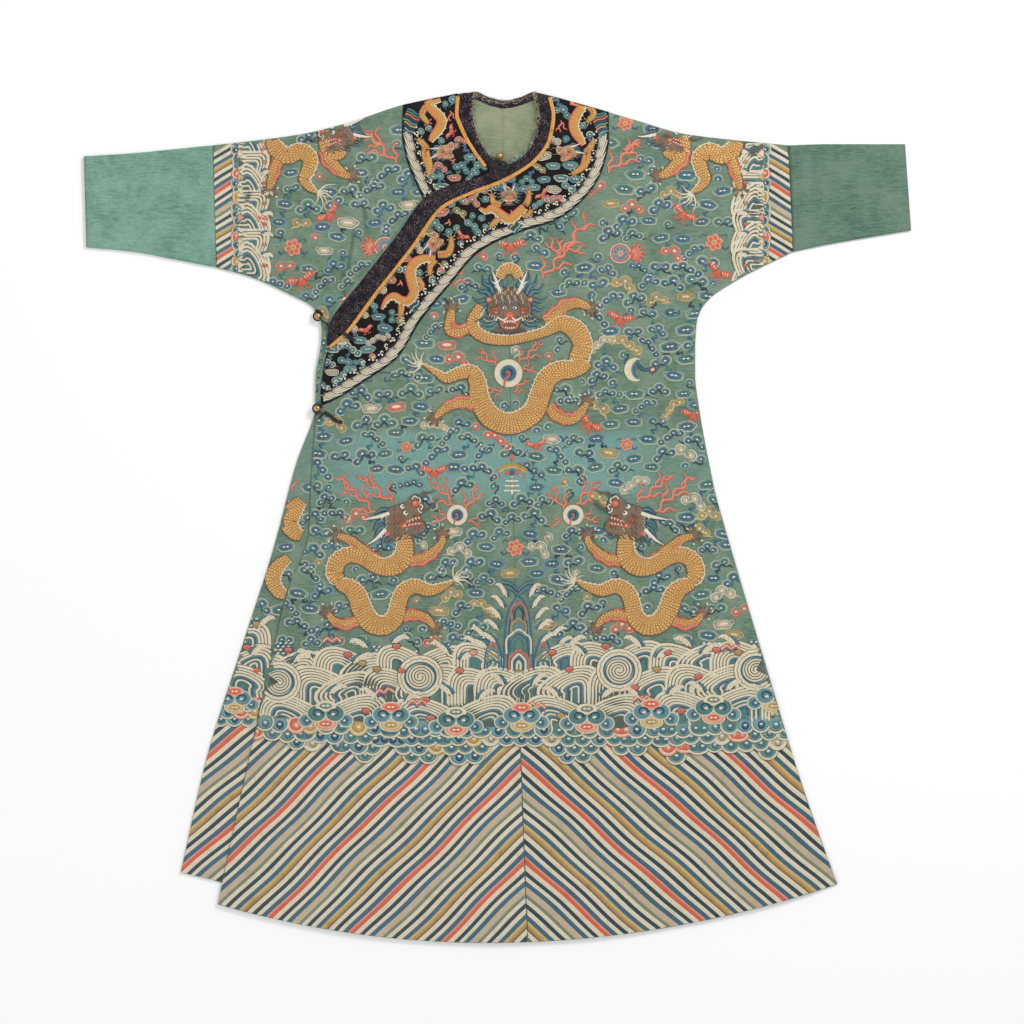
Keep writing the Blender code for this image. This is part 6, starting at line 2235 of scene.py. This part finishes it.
def ropeBorder(work, line, side):
    run = runOf(line)
    t = np.linspace(0, 1, 11)
    swell = (4 * t * (1 - t)) ** 0.8 * rope["half"]
    along = (t - 0.5) * rope["length"]
    sway = rope["sway"] * np.sin(2 * math.pi * t)
    for k, at in reversed(list(enumerate(np.arange(44, run[-1] - 4, rope["pitch"])))):
        place, way = placeOn(line, run, at, 4)
        s = work.spot(*place, 1 + 0.08 * math.sin(k * 2.3), way)

        def bent(points):
            return (turned(np.asarray(points, float), rope["lean"]) + (0, rope["inset"])) * (1, side)

        slope = (place, turned((rope["rise"], 0.0), way))
        long, deep = along * 1.03, swell + rope["rim"]
        below, above = (np.stack([long, sway + edge], -1) for edge in (-deep, deep))
        leaf = bent(np.vstack([below, above[::-1]]))
        s.cover(leaf)
        s.patch("navy", leaf, 3.4, 0.1, slope)
        for share in rope["strands"]:
            strand = bent(np.stack([along, sway + swell * share], -1)[1:-1])
            widths = widthsAlong(strand, (0.8, rope["strand"], rope["strand"], rope["strand"], 0.8))
            s.ribbon("cream" if share < 0.5 else "taupe", strand, widths, 4.8, 0.35, tilt=slope)
        s.ribbon("cream", bent(spiral(8, 12.5, 3.8, 1.0, -90, 210)), 1.7, 3.6, 0.3)
        for dot in range(3):
            s.patch("white", bent(ellipse(-12 + 5.5 * dot, 12 + 1.5 * dot, 1.7, 1.5, count=7)), 3.6, 0.1)


# a corner of slanting ripples where the rope begins
def edgeWaters(work, x, y, angle, long=25.0, lines=8):
    s = work.spot(x, y, 1.0, angle)
    half = lines * 2.2
    s.cover(np.array([(-long / 2, -half), (long / 2, -half), (long / 2, half), (-long / 2, half)]))
    for k in range(lines):
        down = (k + 0.5) * 4.4 - half
        line = flowLine([(-long / 2, down), (-long / 6, down + 1.6), (long / 6, down - 1.0),
                         (long / 2, down + 1.0)], 5)
        s.ribbon(("teal", "mist", "navy", "ochre", "sky", "navy", "coral", "pond")[k % 8], line, 3.0, 3.0,
                 0.3)


def yokeKeep(points):
    return within["yoke_left"](points) & ~within["binding_left"](points)


def yokeRightKeep(points):
    over = ("binding_left", "binding_right", "front_left", "front_overlap")
    return within["yoke_right"](points) & ~np.any([within[name](points) for name in over], axis=0)


def yokeWork(name, top, keep, dragons, outerLine, side, waters, box):
    work = Needlework(name, top, keep)
    ropeBorder(work, outerLine, side)
    for x, y, angle, long, lines in waters:
        edgeWaters(work, x, y, angle, long, lines)
    work.reserve(outerLine, np.full(len(outerLine), 18.0))
    for dragon in dragons:
        yokeDragon(work, yokeDragons[dragon])
    strew(work, box["bats"], (), box["fires"])
    cloudField(work, keep, *box["range"], 0.74, yokeTints)
    return work.finish()


# the needlework of each cloth
def outerKeep(points):
    held = within["front_left"](points) | within["front_left"](points + (0.9,
                                                                         0)) | within["front_overlap"](points)
    return held & ~(within["yoke_left"](points) | within["binding_left"](points))


def innerKeep(points):
    over = within["front_left"](points) | within["front_overlap"](points) | within["yoke_right"](points)
    collar = (points[..., 0] > -66) & (points[..., 1] > 560)
    return within["front_inner_right"](points) & ~(over | within["binding_right"](points) | collar)


# where the two slopes of stripes meet, how long they run, how far under the water they start, and each
# slope's angle, side and share of the pitch
hem = {"origin": (44.0, -399.0), "reach": 760, "under": 26, "slopes": ((44.5, -1, 1.0), (41.5, 1, 1.03))}


def hemStripes(work, rightPanel, leftPanel):
    for panel, (angle, side, pitch) in zip((rightPanel, leftPanel), hem["slopes"]):
        def below(points):
            return within[panel](points) & (points[..., 1] < waterFloor(points[..., 0]) + hem["under"])

        stripes(work, np.array(hem["origin"]), angle, side, hem["reach"], below, stripe["pitch"] * pitch,
                span=7)


# side: the joint's x and its panel; then the width, angle and pitch of the stripes
band = {-1: (467, "front_inner_right"), 1: (478, "front_left"), "wide": 37.0, "angle": 33, "pitch": 92.0}


# around a sleeve: slanting stripes, a strip of scales and a row of small waves, side +1 on the wearer's left
def sleeveBand(work, side):
    edge, panel = band[side]
    inner = edge - band["wide"]

    def strip(points):
        return within[panel](points) & (np.abs(points[..., 0]) > inner)

    stripes(work, np.array((side * inner, 560.0)), band["angle"], side, 260, strip, band["pitch"], span=4,
            start=-160)
    for row, inset in enumerate((40, 51)):
        for k in range(17):
            x, y = edge - inset + math.sin(k * 1.7) * 2, 616 - k * 13 - 6 * row + 2 * math.sin(k * 2.1)
            kind = ("teal", "deep", "teal", "pale", "coral", "deep", "teal", "ochre")[(k + 3 * row) % 8]
            size = 0.70 + 0.06 * math.sin(k * 3.1)
            waterScale(work, side * x, y, size, kind, 2.0 + 1.5 * row, 90 * side, twin=k % 5 == 2)
    for row, (inset, radius, count) in enumerate(((64, 27, 8), (57, 31, 7))):
        for k in range(count):
            x, y = side * (edge - inset), 604 - k * 32 + 16 * (1 - row)
            waveHill(work, x, y, radius, 1.15, 0.3 * (-1) ** k, 1.6 + row, 90 * side, 3 + k % 2, 0.85)
    crest = edge - (66 if side > 0 else 80)
    for k in range(6):
        y = 600 - k * 34
        foam(work, side * crest, y, 22, 90 + side * 60, 0.4, side, 5.0, 0.75)
        gem(work, side * (crest - 4), y - 16, "coral" if k % 2 else "ochre", 0.6, 5.0)


# x, y, length, the way it burns, size, flip
chestFires = ((76, 392, 132, 54, 1.0, 1), (102, 428, 46, 118, 0.85, -1), (112, 436, 44, 14, 0.8, 1),
              (-94, 372, 64, 44, 0.9, 1), (-2, 250, 60, 138, 0.7, -1), (36, 254, 72, 42, 0.7, 1),
              (8, 212, 52, 196, 0.62, 1), (26, 206, 56, 44, 0.62, -1), (40, 240, 40, 16, 0.62, 1))
skirtFires = ((-200, 10, 96, 138, 0.95, 1), (-172, 24, 84, 140, 0.92, -1), (-70, 22, 66, 134, 0.86, 1),
              (-80, -4, 44, 172, 0.7, -1), (-50, 12, 52, 64, 0.86, 1), (-48, -8, 34, -6, 0.62, 1))


# the dragons of the chest and the skirt, each after its pearl; the skirt's pair face each other over an axis
def dragonDesign(work, axis):
    strew(work, fires=chestFires)
    dragonOf(work, chestDragon, backs=(-1, 1, -1, 1), back=-1)
    scaledBody(work, chestDragon["mane"])
    pearl(work, 18, 237, 22.5)
    work.cover(ellipse(20, 343, 34, 34, count=24))
    facingHead(work, 20, 343)
    work.reserve(ellipse(20, 350, 62, 48, count=24))
    for mirror, sign, shift in ((None, 1, 0), (axis, -1, 2 * axis)):
        for x, y, length, angle, size, flip in skirtFires:
            blaze(work, sign * x + shift, y, length, angle if sign > 0 else 180 - angle, size, flip * sign)
        dragonOf(work, skirtDragon, mirror, backs=(1, -1, 1, -1), back=1)
        pearl(work, sign * -66 + shift, 4, 16.5)
        work.cover(ellipse(sign * -154 + shift, -2, 26, 20, count=18))
        sideHead(work, sign * -154 + shift, -2, 0.98, 0, sign)
        work.reserve(ellipse(sign * -170 + shift, 0, 48, 34, count=20))


# the hem's stripes and all the water above them
def hemWater(work, rightPanel, leftPanel, left):
    hemStripes(work, rightPanel, leftPanel)
    rollingWater(work)
    waterScales(work, left, 520)
    cloudHeads(work)


outer = Needlework("outer", outerTop, outerKeep)
hemWater(outer, "front_overlap", "front_left", -430)
sleeveBand(outer, 1)
print("water stitched")

dragonDesign(outer, 29.3)
dragonOf(outer, shoulderDragon, 12.0, backs=(1, -1), back=1)
scaledBody(outer, mirrored(shoulderDragon["chest"], 12.0), spines=False)
outer.cover(ellipse(288, 630, 18, 13, count=16))
sideHead(outer, 288, 628, 0.78, -34, 1)
print("dragons stitched")
strew(outer,
      bats=((21, 445, 1.0, 0), (202, 325, 0.9, -12), (150, 152, 0.9, -40), (362, 402, 0.9, -35),
            (305, 497, 0.9, -35), (-104, 74, 0.9, 0), (64, 118, 0.7, 10), (322, 168, 0.8, 0)),
      flowers=((29, -50, 1.2), (356, 452, 1.25), (210, 648, 1.1), (212, 120, 0.9), (-150, 116, 0.8)),
      fires=((184, 566, 76, 48, 1.0, 1), (206, 606, 40, 10, 0.85, -1)))
fireWheel(outer, 202, 434)
outer.reserve(ellipse(214, 434, 38, 20))
moonDisc(outer, 226, 243)
chime(outer, 24, 72)
fret(outer, -196, 226)


# clouds stay above the water, off the sleeve bands, and clear of the rock's peak
skyEdge = {"low": -212, "right": 400, "back": 395, "peak": 34, "clear": 46, "peakTop": -96}


def overWater(points):
    x, y = points[..., 0], points[..., 1]
    atPeak = (np.abs(x - skyEdge["peak"]) < skyEdge["clear"]) & (y < skyEdge["peakTop"])
    return (y > skyEdge["low"]) & ~atPeak


def outerSky(points):
    return outerKeep(points) & overWater(points) & (points[..., 0] < skyEdge["right"])


cloudField(outer, outerSky, -220, 640, -340, 440)
outerPieces = outer.finish()

inner = Needlework("inner", innerTop, innerKeep)


def underlapStripes(points):
    return within["front_inner_right"](points) & ~within["front_overlap"](points) & (points[..., 1] < -318)


stripes(inner, np.array((-420.0, -340.0)), 40, -1, 420, underlapStripes, span=4)
for row in range(4, -1, -1):
    for k in range(7):
        waterScale(inner, -500 + 22.4 * (k + 0.5 * (row % 2)), -282 - 12 * row, 1.0,
                   ("teal", "deep", "teal", "coral", "deep", "ochre")[(k * 2 + row) % 6], 2.0 + 0.5 * (k % 2))
for x, y, radius, lean, row in ((-412, -206, 40, 0.3, 0), (-452, -222, 40, -0.2, 0),
                                (-400, -244, 42, 0.25, 1),
                                (-458, -258, 40, 0.2, 1), (-420, -276, 40, -0.2, 2)):
    waveHill(inner, x, y, radius, 0.86, lean, 1.4 + row * 2.0, pale=4)
for x, y, length, angle, bend, flip in ((-392, -180, 30, 60, 0.4, -1), (-424, -196, 28, 120, 0.4, 1),
                                        (-404, -226, 28, 60, 0.4, -1), (-440, -244, 28, 120, 0.4, 1)):
    foam(inner, x, y, length, angle, bend, flip, 5.0, 0.95)
ripples(inner, -400, -168, 4)
ripples(inner, -428, -206, 3)
cloudHead(inner, -432, -300, "coral", "ochre", stillWater["curls"][0], 0.95, 9.0)
for x, y, thread in ((-396, -176, "ochre"), (-412, -214, "coral"), (-396, -252, "coral")):
    gem(inner, x, y, thread)
sleeveBand(inner, -1)
# the ends of a dragon that the overlap hides
scaledBody(inner, ((-322, 28, 18), (-334, 14, 28), (-344, -6, 30), (-334, -24, 24), (-322, -30, 16)))
scaledBody(inner, ((-344, -66, 14), (-362, -82, 22), (-370, -102, 24), (-360, -122, 20), (-346, -128, 14)))
claw(inner, -352, 24, 120, 0.9)
dragonOf(inner, shoulderDragon, None, backs=(1, -1), back=1)
scaledBody(inner, shoulderDragon["chest"], spines=False)
inner.cover(ellipse(-264, 630, 18, 13, count=16))
sideHead(inner, -264, 628, 0.78, 34, -1)
strew(inner,
      bats=((-276, 497, 0.9, 40), (-390, 492, 0.5, -20), (-322, 388, 1.0, 20)), flowers=((-336, 444, 1.25),),
      fires=((-336, 44, 30, 80, 0.7), (-166, 582, 78, 132, 1.0, -1), (-190, 618, 38, 168, 0.85),
             (-388, 618, 30, -80, 0.8)))
fireWheel(inner, -185, 445, -1)
inner.reserve(ellipse(-200, 442, 40, 20))


def innerSky(points):
    x, y = points[..., 0], points[..., 1]
    return innerKeep(points) & ((y > 170) | ((y > -160) & (y < 60))) & (x > -392)


cloudField(inner, innerSky, -170, 640, -400, 20)
innerPieces = inner.finish()
print("underlap and right sleeve stitched")

leftEdge = steadyLine(np.asarray(cut["yoke_left"], float)[:, 2:4], 4.0)
rightEdge = steadyLine(np.asarray(cut["yoke_right"], float)[:, 2:4], 4.0)
yokeLeftPieces = yokeWork("yoke_left", yokeTop, yokeKeep, ("front", "diagonal", "left"), leftEdge, -1,
                          ((173, 646, 24, 26, 9), (29, 478, 60, 20, 5), (-138, 350, 52, 20, 5)),
                          {"range": (190, 690, -300, 190),
                           "bats": ((-58, 462, 0.5, -30), (74, 530, 0.5, 40), (-216, 308, 0.5, 20)),
                           "fires": ((104, 652, 40, 262, 0.5), (-80, 490, 22, 240, 0.5),
                                     (-160, 390, 20, 250, 0.5),
                                     (24, 498, 18, 60, 0.4))})
yokeRightPieces = yokeWork("yoke_right", yokeRightTop, yokeRightKeep, ("right",), rightEdge, 1,
                           ((-144, 650, -26, 26, 9),),
                           {"range": (520, 690, -160, -20), "bats": ((-76, 634, 0.5, 70),),
                            "fires": ((-78, 668, 34, 268, 0.5), (-70, 590, 20, 200, 0.5))})
print("yoke stitched")


# the needlework of the back, the same design pressed flat under the robe
def backUnder(points):
    return backHeight(points) - stack["backThickness"]


def backKeep(points):
    collar = (np.abs(points[..., 0] - 8) < 60) & (points[..., 1] > 660)
    return (within["back_right"](points) | within["back_left"](points)) & ~collar


behind = Needlework("back", backUnder, backKeep, side=-1, relief=0.14, coarse=True)
hemWater(behind, "back_right", "back_left", -480)
for side in (-1, 1):
    sleeveBand(behind, side)
dragonDesign(behind, 20.0)
for axis in (None, 0.0):
    dragonOf(behind, shoulderDragon, axis, backs=(1,), back=1)
strew(behind,
      bats=((21, 445, 1.0, 0), (202, 325, 0.9, -12), (-160, 325, 0.9, 12), (64, 118, 0.7, 10)),
      flowers=((29, -50, 1.2), (212, 120, 0.9), (-150, 116, 0.8), (350, 452, 0.9), (-330, 452, 0.9)))


def backSky(points):
    return backKeep(points) & overWater(points) & (np.abs(points[..., 0]) < skyEdge["back"])


cloudField(behind, backSky, -220, 640, -400, 400, 1.1)
backPieces = behind.finish()
print("back stitched")


# fibres worn loose along the neck: short bent hairs, thickest at the two shoulder corners
fray = {"wide": 0.40, "short": 2.5, "long": 8.0, "spread": 3.2, "lift": 2.4, "back": 4.4}


def frayed(name, top, line, count, thick, lean):
    work = Needlework(name, top, constant(True), ending="_fibres")
    line = flowLine(line, 2.0)
    run = runOf(line)
    for _ in range(count):
        place, aside, twist, reach, bend, pick, rise = rng.random(7)
        root, way = placeOn(line, run, run[-1] * place ** thick, 2)
        way += lean + (twist - 0.5) * 110
        reach = fray["short"] + (fray["long"] - fray["short"]) * reach**2
        hair = [(0, 0), (reach * 0.5, (bend - 0.5) * reach * 0.6), (reach, (0.5 - bend) * reach * 0.5)]
        hair = turned(flowLine(hair, 1.5), way)
        root = root + turned([(0, (aside - 0.5) * 2 * fray["spread"])], way - lean)[0]
        work.ribbon(("sage", "umber", "taupe", "bark", "cream")[int(pick * 4.3)], hair + root, fray["wide"],
                    0.5 + 3 * rise, 0.05, across=1)
    return work.finish()


frayLeft = frayed("collar_left", raised(outerTop, fray["lift"]),
                  ((60, 700), (66, 672), (66, 650), (58, 621), (44, 601), (24, 587)), 250, 1.7, 0)
frayRight = frayed("collar_right", raised(innerTop, fray["lift"]),
                   ((-37, 700), (-40, 670), (-38, 645), (-30, 622), (-16, 600), (0, 588)), 250, 1.7, 0)
frayBack = frayed("collar_back", constant(fray["back"]),
                  ((-38, 694), (-13, 686), (12, 682), (36, 686), (60, 694)), 150, 1.0, 20)
print("loose fibres along the neck")


# what each cloth was cut to
def polygonArea(outline):
    x, y = outline.T
    return abs(float(np.dot(x, np.roll(y, 1)) - np.dot(y, np.roll(x, 1)))) / 2 * mm * mm


# a panel's own box and area
def panelCut(name):
    outline = np.array(outlineOf(name))
    width, length = np.ptp(outline, axis=0) * mm
    return (float(width), float(length)), polygonArea(outline)


# a curved strip's greatest width and the length along its middle
def stripCut(name):
    rows = steadyLine(cut[name], 3.0)
    width = np.hypot(rows[:, 2] - rows[:, 0], rows[:, 3] - rows[:, 1]).max() * mm
    middle = (rows[:, 0:2] + rows[:, 2:4]) / 2
    length = np.linalg.norm(np.diff(middle, axis=0), axis=1).sum() * mm + width / 2
    return (float(width), float(length)), polygonArea(np.array(outlineOf(name)))


panelCut("back_right")
panelCut("back_left")
panelCut("front_inner_right")
panelCut("front_left")
panelCut("front_overlap")
panelCut("lining_right")
panelCut("lining_left")
stripCut("yoke_right")
stripCut("yoke_left")
stripCut("binding_right")
stripCut("binding_left")
stripCut("binding_back")
